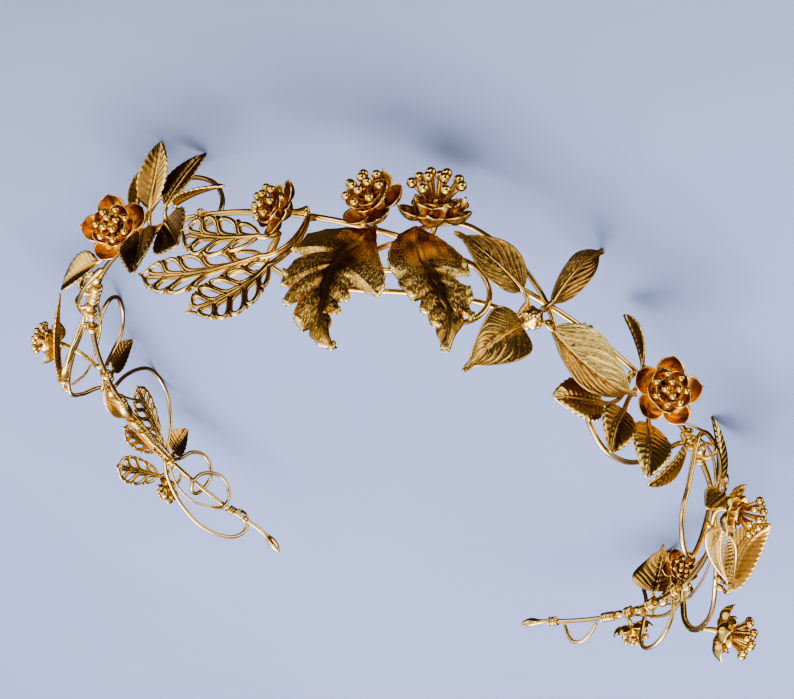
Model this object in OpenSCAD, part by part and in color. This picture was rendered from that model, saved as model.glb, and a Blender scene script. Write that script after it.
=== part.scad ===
// Flower crown of brass wire and stampings, an open horseshoe that lies on its leaf tips.
// Millimetres. The front faces -Y, +Z is up, and the origin is under the middle of the crown.

/* [Crown] */
// Half of the crown's width, from its middle to the base wire
half_width = 76.6; // [70:0.2:84]
// Length from the middle of the crown's curve to the base wire at the front
half_depth = 88.7; // [82:0.2:96]
// Angle round the head, from the front, at which the base wire ends
end_angle = 151.5; // [146:0.5:154]
// Rise of the base wire at its left end, as worn
left_end_rise = 2.8; // [0:0.2:3]
// Rise of the base wire at its right end, as worn
right_end_rise = 1; // [0:0.2:3]
// Height of the base wire's centre line over the table
wire_height = 17; // [17:0.5:20]

/* [Wires] */
// Diameter of the base wire
base_wire_d = 1.2; // [1:0.1:1.4]
// Diameter of the vine wires
vine_wire_d = 0.9; // [0.7:0.1:1]
// Greatest width of the flattened drop at each end of the base wire
end_drop_d = 2.6; // [2:0.2:3]
// Sides of every drawn wire
wire_sides = 6; // [5:1:8]

/* [Stampings] */
// Thickness of the pressed leaves
leaf_t = 0.7; // [0.5:0.1:0.8]
// Diameter of the leaf stems
stem_d = 0.9; // [0.7:0.1:1]
// Depth of the teeth on the rose leaves, as a share of half their width
tooth_depth = 0.07; // [0:0.01:0.12]
// Width of a pierced leaf's rim
rim_w = 0.75; // [0.6:0.05:0.9]
// Diameter of a blossom of full size, over its outer petals
blossom_d = 13.2; // [12:0.2:14]
// Diameter of the balls on the blossoms' stamens
ball_d = 1.7; // [1.3:0.1:1.9]

/* [Hidden] */

// Middle of the crown's outline, moved to the origin
outline_centre = [0.6, -10.2];
// Distance between the centre lines of the base wire and a stem or wire that lies on it
seat = base_wire_d / 2 + vine_wire_d / 2 + 0.4;

// Places are [angle round the head from the front, height over the base wire, distance outside it]

// Routes of the vine wires
VINES = [
    ["lower_rail_wire", [
        [13, 12, 0.6], [11, 13, -0.8], [8, 13.5, -1.5], [4, 13.6, -1.6], [-1, 12.6, -1.6],
        [-6, 10.6, -1.5], [-11, 8.3, -1.4], [-16, 6.5, -1], [-20, 5.7, -0.5], [-23.5, 5.6, 0.1]
    ]],
    ["wire_loop_front", [
        [-3.5, 0.3, -1.4], [-1.8, 2, -1.5], [0, 5, -1.2], [0.4, 7.6, -0.4], [-1, 8.9, 0.6],
        [-3, 8.9, 1.2], [-5, 8.2, 1.4], [-7, 6.4, 1.4], [-9, 4.3, 1.4], [-12, 1.9, 1.5],
        [-14, 1.2, 1.6], [-16, 2.2, 1.5], [-17.6, 4.6, 1.5], [-18, 8, 1.5], [-17.1, 11.3, 1.5],
        [-15.4, 13.4, 1.5], [-13.4, 13.8, 1.5], [-11, 12.4, 1.1]
    ]],
    ["wire_arc_front", [
        [-4.6, -1.3, 0.3], [-6.6, -3.4, 1], [-9, -5.5, 1.4], [-11.5, -6.6, 1.4], [-14.5, -6.2, 1.4],
        [-18, -5, 1.4], [-21.5, -2.9, 1.4], [-24.3, -0.4, 1.45], [-26.5, 2, 1.2], [-28.2, 4.7, 0.9],
        [-30, 7.6, 0.6], [-32, 9, 0.3]
    ]],
    ["wire_arc_left", [
        [49.5, -1.4, -0.3], [49.5, -7, -0.8], [47.5, -13.2, -0.9], [44, -15.4, -0.9], [40, -14.6, -0.8],
        [35.5, -12.8, -0.8], [31, -9.9, -0.9], [28.2, -6.5, -1.1], [27, -3.4, -1.4], [27, 0, -1.5],
        [28.5, 2.6, -1]
    ]],
    ["wire_stem_left", [
        [76, -1.2, 0.9], [78, -4, 2.8], [81, -5, 4.6], [84.3, -1.8, 5.2], [86, 2.8, 5.1],
        [88, 7.3, 4.8], [90.5, 9.6, 4], [93, 7, 3.2], [95, 3, 2.2], [96.2, 1, 1.2]
    ]],
    ["wire_loop_left_side", [
        [83, -1.3, 0.3], [82, -6, 1.2], [82, -11, 1.4], [84.5, -14.8, 1.6], [88, -16.5, 2],
        [91.2, -15.2, 1.8], [92.8, -11.5, 1.4], [93, -7, 1.3], [92.5, -3.4, 0.8], [92, -1.3, 0.2]
    ]],
    ["wire_scroll_left_back", [
        [98, -1.3, 0.3], [100, -6, 1.3], [102.8, -11, 2], [106, -15, 2.6], [109, -16.5, 3],
        [112.2, -15.9, 2.6], [115, -13.3, 2], [117.3, -9, 1.5], [118.4, -5, 1.2], [119.2, -2, 0.9],
        [121, -1.2, 0.9], [123, -3, 1.2], [125, -7, 1.4], [127.5, -8.8, 1.4], [130, -8, 1.4],
        [131.5, -5, 1.4], [131.3, -1.5, 1.5], [130.3, 1.5, 1.3], [128.4, 2.6, 0], [127, 1, -1.4],
        [128, -2.5, -1.5], [130.5, -5, -1.4], [133, -5.8, -1.4], [135.3, -4.2, -1.4],
        [136.3, -1.5, -1.5], [135.8, 1.5, -1.3], [134.2, 3, -0.4]
    ]],
    ["wire_loop_left_end", [
        [119.5, 1.3, 0.3], [122, 3.6, 1], [126, 6.2, 1.3], [130, 7.8, 1.4], [134, 8.6, 1.4],
        [138, 8, 1.4], [141.5, 6, 1.4], [143.3, 3, 1.4], [143.3, 0, 1.5], [142, -1.9, 1.2],
        [140.2, -1.5, 0.3]
    ]],
    ["wire_arc_right", [
        [-33.6, 9.6, -0.4], [-35.4, 11, -1.2], [-37.2, 13.4, -1.4], [-39, 15.8, -1.4],
        [-41.5, 17.4, -1.4], [-44, 17.6, -1.4], [-47.5, 16, -1.4], [-51, 12.4, -1.4], [-54.5, 7, -1.4],
        [-57, 3, -1.2], [-58.4, 1.1, -0.6]
    ]],
    ["wire_loop_right_side", [
        [-73, -1.4, 0.5], [-71, -3.8, 1.2], [-68, -4.9, 1.4], [-64, -4.8, 1.4], [-60.8, -3.6, 1.4],
        [-59.2, -1, 1.5], [-59.1, 2, 1.5], [-59.8, 6, 1.4], [-60.3, 10, 1.4], [-60.4, 14, 1.4],
        [-61.4, 17.6, 1.4], [-63.2, 20, 1.4], [-65.5, 20.7, 1.4], [-68, 19, 1.4], [-69.5, 15, 1.4],
        [-70, 10, 1.4], [-70, 5, 1.2], [-70, 1.4, 0.3]
    ]],
    ["wire_ring_right_back", [
        [-76, 1.3, 0.4], [-77.5, 6, 2], [-79, 10.5, 2.8], [-82.5, 14.2, 3.4], [-87, 15.8, 3.8],
        [-92, 15.8, 3.7], [-97, 14.8, 3.2], [-101, 12.6, 2.6], [-104, 9, 1.8], [-105.6, 4.5, 1.2],
        [-105.2, 1.3, 0.4]
    ]],
    ["wire_scroll_right_back", [
        [-109.5, 1.3, 0.3], [-109.3, 5, 1.2], [-110.5, 9.5, 1.4], [-113.5, 11.9, 1.4],
        [-117, 11.5, 1.4], [-119.3, 8.5, 1.4], [-120, 4, 1.4], [-120.4, 0, 1.5], [-121.5, -4, 1.4],
        [-123.4, -8, 1.4], [-124, -11.8, 1.6], [-122.6, -15.2, 1.9], [-119.5, -16.5, 2],
        [-116, -15.5, 1.8], [-113.6, -12, 1.4], [-113.4, -7, 1.2], [-113.8, -3, 0.8], [-114, -1.3, 0.2]
    ]],
    ["wire_loop_right_end", [
        [-141.4, 1.3, 0.4], [-140.4, 3.6, 1.1], [-138.8, 5.5, 1.4], [-136.8, 5.6, 1.4],
        [-134.8, 3.8, 1.1], [-133.4, 1.3, 0.4]
    ]]
];

// Bindings round the base wire: [angle of the middle, length along the wire]
BINDINGS = [[-9.6, 2.6], [-63.4, 1.6], [74, 3], [113, 7], [138.5, 2.4], [-130, 5], [-144.4, 3]];

// Serrated leaves: [name, seat, foot of the blade, tip, width, fold, arch, bend, roll]
ROSE_LEAVES = [
    ["rose_leaf_left_1", [42, -seat, 0], [41, -4, 2.4], [39.5, -16.8, 8.2], 8.8, 0.28, 0.8, 0.3, -15],
    ["rose_leaf_left_2", [46.6, -seat, 0], [46, -4, 1.6], [45.4, -16.4, 5], 7.5, 0.3, 0.6, 0, 40],
    ["rose_leaf_left_3", [37.4, -seat, 0], [36.6, -3, 2], [34.2, -16.8, 1.6], 7, 0.3, 0.2, -0.6, -12],
    ["rose_leaf_left_4", [34.2, -seat, 0], [33.4, -1.8, 2.6], [23, -2.2, 5.2], 6, 0.25, 0.4, 0.4, 42],
    ["rose_leaf_left_5", [34.4, seat, 0], [34, 2.4, 2.2], [28, 9.8, 2.8], 10.2, 0.2, -0.6, 0, -14],
    ["rose_leaf_left_6", [39.5, seat, 0], [39.2, 3.2, 2.6], [34.8, 15.6, 2.8], 8.6, 0.22, 0.8, 0, 10],
    ["pale_leaf_left", [50.4, 0, seat], [51, 5.4, 3], [58.6, 9, 6], 9, 0.2, 0.8, 0, 10],
    ["narrow_leaf_left", [89.6, 9.6, 5.4], [88.4, 8.6, 5.9], [74.2, -1.6, 8.8], 5.4, 0.2, 0.4, 0.8, -14],
    ["small_leaf_left", [95.4, -seat, 0], [96.6, -4.4, 1.6], [99.2, -16.6, 3.4], 6, 0.2, 0.5, 0, 20],
    ["leaf_left_back", [121.6, -2.4, 2], [122.4, -4.4, 3.6], [123.6, -13.4, 5], 7.4, 0.2, 0.5, 0, 5],
    ["rose_leaf_right_1", [-42.4, seat, -0.5], [-38.6, 11.4, 0.6], [-30.2, 18.2, 3],
        8.4, 0.12, 0.3, 0, -10],
    ["rose_leaf_right_2", [-44.6, seat, 0.2], [-41, 11.4, 3.2], [-39.6, 22.4, 5.6],
        7.4, 0.24, 0.4, 0.8, -15],
    ["rose_leaf_right_3", [-46.8, seat, 0], [-45.8, 9.8, 3.2], [-45.2, 22.6, 7.4],
        8.2, 0.22, 0.6, 0, -25],
    ["rose_leaf_right_4", [-57, seat, 0], [-57.2, 2.6, 0.6], [-54.2, 15, -2.6], 7.6, 0.3, 0.6, 0, 27],
    ["rose_leaf_right_5", [-44, -seat, 0], [-43.8, -2.6, -0.2], [-40.9, -13.5, -5.6],
        7.4, 0.25, 0.4, 0, -42],
    ["rose_leaf_right_6", [-75.8, -seat, 0], [-75.4, -3, -0.2], [-70.6, -16.9, -3.6],
        8, 0.28, 0.6, 0.6, 2],
    ["cap_leaf_right", [-72.6, 0, seat], [-72, 0.6, 2.6], [-67, 8.6, 2.2], 5.6, 0.2, 0.3, 0, -10],
    ["broad_leaf_right", [-82, 14.6, 5.3], [-80.4, 15.4, 6.8], [-73, 5, 13.2], 8, 0.2, 0.8, 3, -60]
];

// Smooth cupped leaves: [name, seat, foot of the blade, tip, width, cup, arch, bend, roll]
SMOOTH_LEAVES = [
    ["sprig_leaf_1", [-22.7, 4, 3.2], [-21.4, 2.4, 3.4], [-10.8, -1.2, 5.6], 7.4, 0.3, 0.8, 0.6, 20],
    ["sprig_leaf_2", [-24.8, 3.7, 3.2], [-25.6, 1.6, 3.5], [-30.8, -16.9, 1], 5.8, 0.3, 0.8, -1.4, -10],
    ["sprig_leaf_3", [-23, 8, 3.4], [-22.8, 9.6, 3.6], [-17.8, 24.4, 6.2], 10, 0.3, 1, 0.8, 10],
    ["sprig_leaf_4", [-25.8, 6, 3.2], [-27, 6.4, 3.2], [-42.2, 6.4, 2.6], 10.8, 0.24, 0.6, 2, -5],
    ["smooth_leaf_left", [108.4, 0, seat], [107.2, -0.4, 2.6], [97.6, -1.2, 3.4], 5, 0.2, 0.5, 0, 0],
    ["smooth_leaf_right", [-116.6, -seat, 0], [-116.8, -3.4, -0.6], [-116.6, -15.6, -1.6],
        12, 0.2, 0.6, 0, -50]
];

// Pierced leaves: [name, seat, foot of the blade, tip, width, slots a side, slant, arch, bend, roll]
PIERCED_LEAVES = [
    ["filigree_leaf_front_1", [9.6, 1.7, 1.5], [13, 12.4, 2.4], [32.6, 16.4, 2.8],
        9.4, 5, 0.5, 0.8, -2.6, 0],
    ["filigree_leaf_front_2", [9, 2.2, 2.6], [10.6, 15.6, 4.4], [17.4, 29, 6.4], 10, 5, 0.5, 0.6, -2, 5],
    ["filigree_leaf_front_3", [11.6, 7.4, 3.5], [13.4, 10, 5.2], [25.4, 9.8, 6.2],
        9, 4, 0.5, 0.6, -1.2, 5],
    ["filigree_leaf_back_1", [122.4, 0.4, seat], [121.2, 4.4, 2.9], [111.6, 10.8, 3.6],
        7.4, 3, 0.5, 0.4, 0, 0],
    ["filigree_leaf_back_2", [118, -seat, 0], [116, -3.4, 0.8], [105, -8.2, 1.4], 7.6, 3, 0.5, 0.6, 0, 0],
    ["filigree_leaf_back_3", [119, 0.2, seat], [117.8, -0.4, 2.8], [108.8, 1.4, 3.8],
        5.6, 3, 0.5, 0.4, 0, 0],
    ["feather_leaf", [-80.5, 13.8, 4.6], [-79, 14.8, 6], [-69.4, 10.9, 5.4], 7.6, 5, 0.7, -0.6, 0, -50]
];

// Vine leaves: [name, seat, foot of the blade, tip, dome, arch, bend, roll]
VINE_LEAVES = [
    ["vine_leaf_left", [0.2, 0.4, seat], [0, 1.6, 2.2], [-2, 29.3, 5.2], 3, 1.2, 0, 0],
    ["vine_leaf_right", [-5, -0.4, seat], [-5.3, -1.5, 2], [-14.8, 22.3, 6.2], 3, 1.2, 0, 0]
];
// Outlines of the vine leaves, in shares of their length, from foot to tip:
// [vein along, vein across, left edge along, left edge across, right edge along, right edge across]
LEFT_VINE_OUTLINE = [
    [0, 0, 0, 0.02, 0, -0.02], [0.06, 0.02, 0.04, 0.16, 0.06, -0.04],
    [0.14, 0.04, 0.1, 0.28, 0.14, -0.06], [0.2, 0.06, 0.18, 0.38, 0.24, -0.1],
    [0.26, 0.1, 0.34, 0.44, 0.32, -0.14], [0.3, 0.12, 0.36, 0.34, 0.4, -0.18],
    [0.34, 0.12, 0.44, 0.4, 0.52, -0.2], [0.36, 0.14, 0.56, 0.44, 0.58, -0.18],
    [0.38, 0.14, 0.64, 0.42, 0.56, -0.1], [0.42, 0.16, 0.64, 0.36, 0.52, 0],
    [0.48, 0.16, 0.78, 0.36, 0.56, 0.02], [0.56, 0.16, 0.72, 0.28, 0.66, 0],
    [0.64, 0.14, 0.88, 0.26, 0.68, 0.06], [0.72, 0.14, 0.94, 0.2, 0.76, 0.02],
    [0.8, 0.12, 0.9, 0.16, 0.78, 0.1], [0.88, 0.1, 0.96, 0.14, 0.88, 0.06],
    [0.94, 0.06, 1, 0.08, 0.96, 0.02], [1, 0, 1.01, 0.02, 1, -0.02]
];
RIGHT_VINE_OUTLINE = [
    [0, 0, 0, 0.02, 0, -0.02], [0.04, 0, 0.02, 0.06, 0.04, -0.06], [0.1, 0.02, 0.06, 0.12, 0.1, -0.12],
    [0.16, 0.02, 0.14, 0.18, 0.16, -0.16], [0.22, 0.02, 0.22, 0.22, 0.22, -0.2],
    [0.28, 0.02, 0.3, 0.24, 0.3, -0.24], [0.32, 0.02, 0.38, 0.24, 0.38, -0.26],
    [0.36, 0, 0.42, 0.22, 0.46, -0.26], [0.38, 0, 0.46, 0.2, 0.46, -0.2],
    [0.42, -0.02, 0.54, 0.18, 0.46, -0.14], [0.44, -0.02, 0.6, 0.16, 0.52, -0.18],
    [0.48, -0.02, 0.64, 0.14, 0.56, -0.22], [0.52, -0.04, 0.62, 0.08, 0.6, -0.24],
    [0.58, -0.04, 0.74, 0.1, 0.66, -0.24], [0.64, -0.04, 0.74, 0.06, 0.7, -0.2],
    [0.7, -0.06, 0.84, 0.04, 0.8, -0.22], [0.78, -0.06, 0.8, 0, 0.76, -0.14],
    [0.88, -0.04, 0.92, 0.02, 0.88, -0.1], [1, 0, 1, 0.02, 1, -0.02]
];

// Blossoms: [name, seat, foot of the cup, angle faced, lift of the face, size, stamens, turn of the petals]
BLOSSOMS = [
    ["blossom_left_side", [90.4, 0.6, 1.4], [84.4, 2.4, 8.9], 80, 4, 0.85, 7, 0],
    ["blossom_left", [45.4, 0.6, 1.4], [44.8, 1.4, 4.6], 0, 22, 1.05, 7, 14],
    ["bud_front_left", [10.6, -1.1, 1], [13, 1.8, 3.2], 50, 14, 0.85, 7, 10],
    ["blossom_front_left", [2, -1.1, 1], [0.6, -2.6, 4], 26, 2, 0.95, 7, -20],
    ["blossom_front_right", [-7.6, -1.1, 1], [-7.4, -4.4, 3.4], 10, -34, 1.05, 7, 27],
    ["blossom_right", [-49.8, 0.6, 1.4], [-46.2, 2.2, 4.4], -16, 18, 1, 7, -6],
    ["blossom_right_side", [-70.8, 9.4, 2.6], [-67.4, 7.8, 6.5], -78, 8, 0.85, 7, 0],
    ["blossom_right_back", [-97.6, 14, 4.5], [-97, 13.6, 7.8], -88, -2, 1, 7, 20],
    ["bud_left_back", [125.2, 0.2, 1.5], [125.4, 4.6, 3.6], 122, 24, 0.6, 7, 0],
    ["bud_right_back", [-107.5, -1.5, 0], [-108, -5.8, -1], -20, 18, 0.7, 7, 30],
    ["bud_right_end", [-124.2, 1.5, 0], [-123.6, 3.2, 1.3], -120, 50, 0.6, 7, 0]
];

// Colours of the finishes
warm_gold = [0.8, 0.52, 0.18];
leaf_gold = [0.66, 0.49, 0.25];
pale_gold = [0.83, 0.72, 0.5];

// Unit vector along v
function unit(v) = v / norm(v);

// Row of a table by its name
function row(table, name) = table[search([name], table)[0]];

// Point at a place on the band
function at(p) = [
    (half_width + p[2]) * sin(p[0]) - outline_centre[0],
    -(half_depth + p[2]) * cos(p[0]) - outline_centre[1],
    wire_height + p[1]
];

// Direction straight out of the band at an angle round the head
function outward(angle) = unit([sin(angle) / half_width, -cos(angle) / half_depth, 0]);

// Value at t between the middle two of four, on a Catmull-Rom curve
function between(a, b, c, d, t) =
    ((2 * b) + (c - a) * t + (2 * a - 5 * b + 4 * c - d) * t * t + (3 * b - a - 3 * c + d) * t * t * t) / 2;

// Places along a smooth curve through the places of a route, with a number of steps to each
function smooth(route, steps) = let (last = len(route) - 1) [
    for (i = [0:last - 1]) for (s = [0:steps - 1])
        between(route[max(i - 1, 0)], route[i], route[i + 1], route[min(i + 2, last)], s / steps),
    route[last]
];

// Ring of points about a centre, square to a direction
function wire_ring(centre, along, out, r, sides) = let (
    side = unit(cross(along, out)),
    up = cross(side, along)
) [for (k = [0:sides - 1]) centre + r * (cos(360 * k / sides) * up + sin(360 * k / sides) * side)];

// Rings of a round wire along places on the band, with a radius for each
function wire_rings(places, radii, sides) = let (points = [for (p = places) at(p)], last = len(points) - 1) [
    for (i = [0:last]) wire_ring(
        points[i], unit(points[min(i + 1, last)] - points[max(i - 1, 0)]),
        outward(places[i][0]), radii[i], sides
    )
];

// Closed skin through rings that have the same number of points
module skin(rings) {
    sides = len(rings[0]);
    end = (len(rings) - 1) * sides;
    walls = [
        for (i = [0:len(rings) - 2]) for (j = [0:sides - 1])
            let (a = i * sides + j, b = i * sides + (j + 1) % sides)
                each [[a, b + sides, b], [a, a + sides, b + sides]]
    ];
    caps = [for (j = [1:sides - 2]) each [[0, j, j + 1], [end, end + j + 1, end + j]]];
    polyhedron([for (ring = rings) each ring], concat(walls, caps));
}

// Axes of a leaf from its foot to its tip: [along, across, face], turned by roll about its length
function leaf_axes(foot, tip, roll) = let (
    along = unit(at(tip) - at(foot)),
    out = outward((foot[0] + tip[0]) / 2),
    face = unit(out - along * (out * along)),
    across = cross(along, face)
) [along, across * cos(roll) + face * sin(roll), face * cos(roll) - across * sin(roll)];

// Share of half the width at u along a blade, with its widest part before the middle
function blade(u, peak, fullness) = pow(max(sin(180 * pow(u, peak)), 0), fullness);

// Point on a leaf's middle line at u from foot to tip, bowed towards its face by arch and sideways by bend
function spine(foot, axes, long, u, arch, bend) =
    at(foot) + axes[0] * long * u + (axes[2] * arch + axes[1] * bend) * 4 * u * (1 - u);

// Ring of a leaf at u from foot to tip: its face across the blade, then its back
function leaf_ring(leaf_row, axes, long, u, half, across, fold, cup) = let (
    mid = spine(leaf_row[2], axes, long, u, leaf_row[6], leaf_row[7]),
    front = [for (k = [0:across]) let (v = 2 * k / across - 1)
        mid + axes[1] * half * v + axes[2] * (half * (fold * abs(v) + cup * v * v) + leaf_t / 2)]
) concat(front, [for (k = [across:-1:0]) front[k] - axes[2] * leaf_t]);

// Ring of a leaf's stem about a point
function stem_ring(centre, axes, across) = concat(
    [for (k = [0:across]) let (v = 2 * k / across - 1)
        centre + stem_d / 2 * (axes[1] * v + axes[2] * (1.1 - 0.8 * v * v))],
    [for (k = [across:-1:0]) let (v = 2 * k / across - 1)
        centre + stem_d / 2 * (axes[1] * v - axes[2] * (1.1 - 0.8 * v * v))]
);

// Leaf with a stem that starts square at its seat and runs into the blade
module leaf(leaf_row, rows, across, teeth, fold, cup, peak, fullness) {
    foot = leaf_row[2];
    axes = leaf_axes(foot, leaf_row[3], leaf_row[8]);
    long = norm(at(leaf_row[3]) - at(foot));
    half_w = leaf_row[4] / 2;
    start = at(leaf_row[1]);
    skin(concat(
        [stem_ring(start, axes, across), stem_ring((start + 2 * at(foot)) / 3, axes, across)],
        [for (i = [0:rows]) let (
            u = i / rows,
            tooth = i == 0 || i == rows ? 1 : 1 + teeth * (i % 2 == 1 ? 1 : -1),
            half = max(half_w * blade(u, peak, fullness) * tooth, i == rows ? 0.15 : stem_d / 2)
        ) leaf_ring(leaf_row, axes, long, u, half, across, fold, cup)]
    ));
}

module rose_leaf(name) {
    leaf_row = row(ROSE_LEAVES, name);
    color(leaf_gold) leaf(leaf_row, 10, 2, tooth_depth, leaf_row[5], 0, 0.8, 0.75);
}

module smooth_leaf(name) {
    leaf_row = row(SMOOTH_LEAVES, name);
    color(leaf_gold) leaf(leaf_row, 7, 4, 0, 0.04, leaf_row[5], 0.8, 0.8);
}

// Places across a pierced leaf: rim, slots, midrib, slots, rim
function bars_across(half, rib) = let (inner = max(half - rim_w, rib + (half - rib) * 0.3))
    [-half, -inner, -rib, rib, inner, half];

// Closed pierced sheet from a grid of points, where open tells which cells are holes
module pierced_sheet(front, t, face, open) {
    rows = len(front) - 1;
    cols = len(front[0]) - 1;
    back = (rows + 1) * (cols + 1);
    points = concat([for (line = front) each line], [for (line = front) for (p = line) p - face * t]);
    faces = [for (i = [0:rows - 1]) for (j = [0:cols - 1]) if (!open[i][j]) let (
        a = i * (cols + 1) + j,
        b = a + cols + 1
    ) each concat(
        [[a, b, b + 1], [a, b + 1, a + 1]],
        [[a + back, b + 1 + back, b + back], [a + back, a + 1 + back, b + 1 + back]],
        j == 0 || open[i][j - 1] ? [[a, a + back, b + back], [a, b + back, b]] : [],
        j == cols - 1 || open[i][j + 1]
            ? [[a + 1, b + 1, b + 1 + back], [a + 1, b + 1 + back, a + 1 + back]] : [],
        i == 0 || open[i - 1][j] ? [[a, a + 1, a + 1 + back], [a, a + 1 + back, a + back]] : [],
        i == rows - 1 || open[i + 1][j] ? [[b, b + 1 + back, b + 1], [b, b + back, b + 1 + back]] : []
    )];
    polyhedron(points, faces);
}

// Leaf with slots between a midrib, slanted side ribs and a scalloped rim
module pierced_leaf(name) {
    leaf_row = row(PIERCED_LEAVES, name);
    foot = leaf_row[2];
    axes = leaf_axes(foot, leaf_row[3], leaf_row[9]);
    long = norm(at(leaf_row[3]) - at(foot));
    slots = leaf_row[5];
    slant = leaf_row[6];
    // Each slot is a rib and two rows of opening, which let the rim swell beside it
    steps = [for (s = [0:slots - 1]) each [s, s + 0.3, s + 0.65], slots, slots + 0.5];
    us = [for (s = steps) s / (slots + 0.5)];
    kinds = [for (s = [0:slots - 1]) each [false, true, true], false];
    blade_points = [for (i = [0:len(us) - 1]) let (
        u = us[i],
        swell = i % 3 == 2 ? 1.07 : 1,
        half = max(leaf_row[4] / 2 * blade(u, 0.85, 0.7) * swell, u > 0.5 ? 0.3 : stem_d / 2),
        across = bars_across(half, min(0.4, half / 4))
    ) [for (x = across) let (v = abs(x) / leaf_row[4] * 2, ut = u + slant * v * u * (1 - u))
        spine(foot, axes, long, ut, leaf_row[7], leaf_row[8]) + axes[1] * x + axes[2] * leaf_t / 2]];
    stem_points = [for (share = [0, 0.5])
        [for (v = [-1, -0.6, -0.2, 0.2, 0.6, 1])
            at(leaf_row[1]) * (1 - share) + at(foot) * share
                + axes[1] * v * stem_d / 2 + axes[2] * leaf_t / 2]];
    open = concat(
        [for (i = [0:1]) [for (j = [0:4]) false]],
        [for (kind = kinds) [for (j = [0:4]) kind && (j == 1 || j == 3)]]
    );
    color(leaf_gold) pierced_sheet(concat(stem_points, blade_points), leaf_t, axes[2], open);
}

// Lobed leaf: rows from edge to edge over its vein, with the lobes domed between them
module vine_leaf(name, outline) {
    leaf_row = row(VINE_LEAVES, name);
    axes = leaf_axes(leaf_row[2], leaf_row[3], leaf_row[7]);
    long = norm(at(leaf_row[3]) - at(leaf_row[2]));
    columns = [-1, -0.5, 0, 0.5, 1];
    stem_points = [for (share = [0, 0.5]) [for (c = columns)
        at(leaf_row[1]) * (1 - share) + at(leaf_row[2]) * share
            + axes[1] * c * stem_d / 2 + axes[2] * leaf_t / 2]];
    blade_points = [for (o = outline) [for (c = columns) let (
        vein = [o[0], o[1]],
        edge = (c < 0 ? [o[4], o[5]] : [o[2], o[3]]) - vein,
        place = vein + edge * abs(c),
        dome = leaf_row[4] * norm(edge) * 4 * abs(c) * (1 - abs(c))
    ) spine(leaf_row[2], axes, long, place[0], leaf_row[5], leaf_row[6])
        + axes[1] * long * place[1] + axes[2] * (dome + leaf_t / 2)]];
    closed = [for (i = [0:len(outline)]) [for (c = [0:3]) false]];
    color(leaf_gold) pierced_sheet(concat(stem_points, blade_points), leaf_t, axes[2], closed);
}

// Outer petal that points along +X from a narrow neck, raised by an angle
module petal(reach, width, lift) {
    rotate([0, -lift, 0])
        linear_extrude(leaf_t)
            polygon([
                [1, -0.6], [reach * 0.6, -width / 2], [reach * 0.92, -width * 0.36],
                [reach * 0.92, width * 0.36], [reach * 0.6, width / 2], [1, 0.6]
            ]);
}

// Stamen that leans out along +X to its ball
module stamen(reach, long) {
    hull() {
        translate([1, 0, 1.9]) cylinder(d = 0.8, h = 0.2, $fn = 3);
        translate([reach, 0, long]) sphere(d = ball_d, $fn = 4);
    }
}

// Blossom with its foot at the origin and its face along +Z: bowl, five petals and stamens
module blossom_form(stamens) {
    bowl_h = 4;
    floor_h = 2;
    petal_w = 5.2;
    petal_lift = 16;
    difference() {
        cylinder(r1 = 1, r2 = 3.7, h = bowl_h, $fn = 6);
        translate([0, 0, floor_h]) cylinder(r1 = 1.8, r2 = 3.2, h = bowl_h - floor_h + 0.1, $fn = 6);
    }
    for (k = [0:4])
        translate([0, 0, 0.4]) rotate([0, 0, 72 * k]) petal(blossom_d / 2 + 0.7, petal_w, petal_lift);
    // Every second stamen leans further out and is shorter
    for (k = [1:stamens]) let (low = k % 2 == 0)
        rotate([0, 0, 360 * k / stamens]) stamen(low ? 2.2 : 1.6, low ? 5 : 6);
}

// Turns +Z to an angle round the head and a lift over the level
module facing(angle, lift) {
    rotate([0, 0, angle]) rotate([90 - lift, 0, 0]) children();
}

// Stem between two places
module blossom_stem(seat_place, foot, end_d) {
    hull() {
        translate(at(seat_place)) sphere(d = stem_d, $fn = 4);
        translate(at(foot)) sphere(d = end_d, $fn = 4);
    }
}

module blossom(name) {
    flower = row(BLOSSOMS, name);
    color(warm_gold) {
        blossom_stem(flower[1], flower[2], 1.6 * flower[5]);
        translate(at(flower[2])) facing(flower[3], flower[4]) rotate([0, 0, flower[7]]) scale(flower[5])
            blossom_form(flower[6]);
    }
}

// Ribbed bead that holds the four leaves of the sprig
module sprig_knot() {
    knot = [-24, 5.6, 1.1];
    color(warm_gold) translate(at(knot)) facing(knot[0], 20)
        rotate_extrude()
            polygon([[0, 0], [1.3, 0], [1.9, 0.7], [1.5, 1.4], [2.2, 2.2], [1.7, 3], [1, 3.6], [0, 3.8]]);
}

// Drawn wire along the route of that name
module vine_wire(name) {
    places = row(VINES, name)[1];
    route = smooth(places, len(places) > 15 ? 1 : 2);
    color(pale_gold) skin(wire_rings(route, [for (p = route) vine_wire_d / 2], wire_sides - 1));
}

// Base wire: one arc round the head, drawn out into a flattened drop at each end
module base_wire() {
    drop_angles = [0, 0.7, 1.6, 2.5, 3.4, 4.4];
    drop_radii = [0.45, 0.8, 1, 0.9, 0.6, 0.5] * end_drop_d / 2;
    arc_from = end_angle - drop_angles[5];
    arc_steps = 48;
    // The wire is level up to this angle, and curls up from there to its end
    level_angle = 144;
    right = [for (i = [0:4]) -end_angle + drop_angles[i]];
    middle = [for (i = [0:arc_steps]) -arc_from + 2 * arc_from * i / arc_steps];
    left = [for (i = [4:-1:0]) end_angle - drop_angles[i]];
    angles = concat(right, middle, left);
    radii = concat(
        [for (i = [0:4]) drop_radii[i]],
        [for (angle = middle) base_wire_d / 2],
        [for (i = [4:-1:0]) drop_radii[i]]
    );
    function rise(angle) = (angle > 0 ? left_end_rise : right_end_rise)
        * pow(max(abs(angle) - level_angle, 0) / (end_angle - level_angle), 2);
    color(pale_gold) skin(wire_rings([for (angle = angles) [angle, rise(angle), 0]], radii, wire_sides));
}

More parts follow.
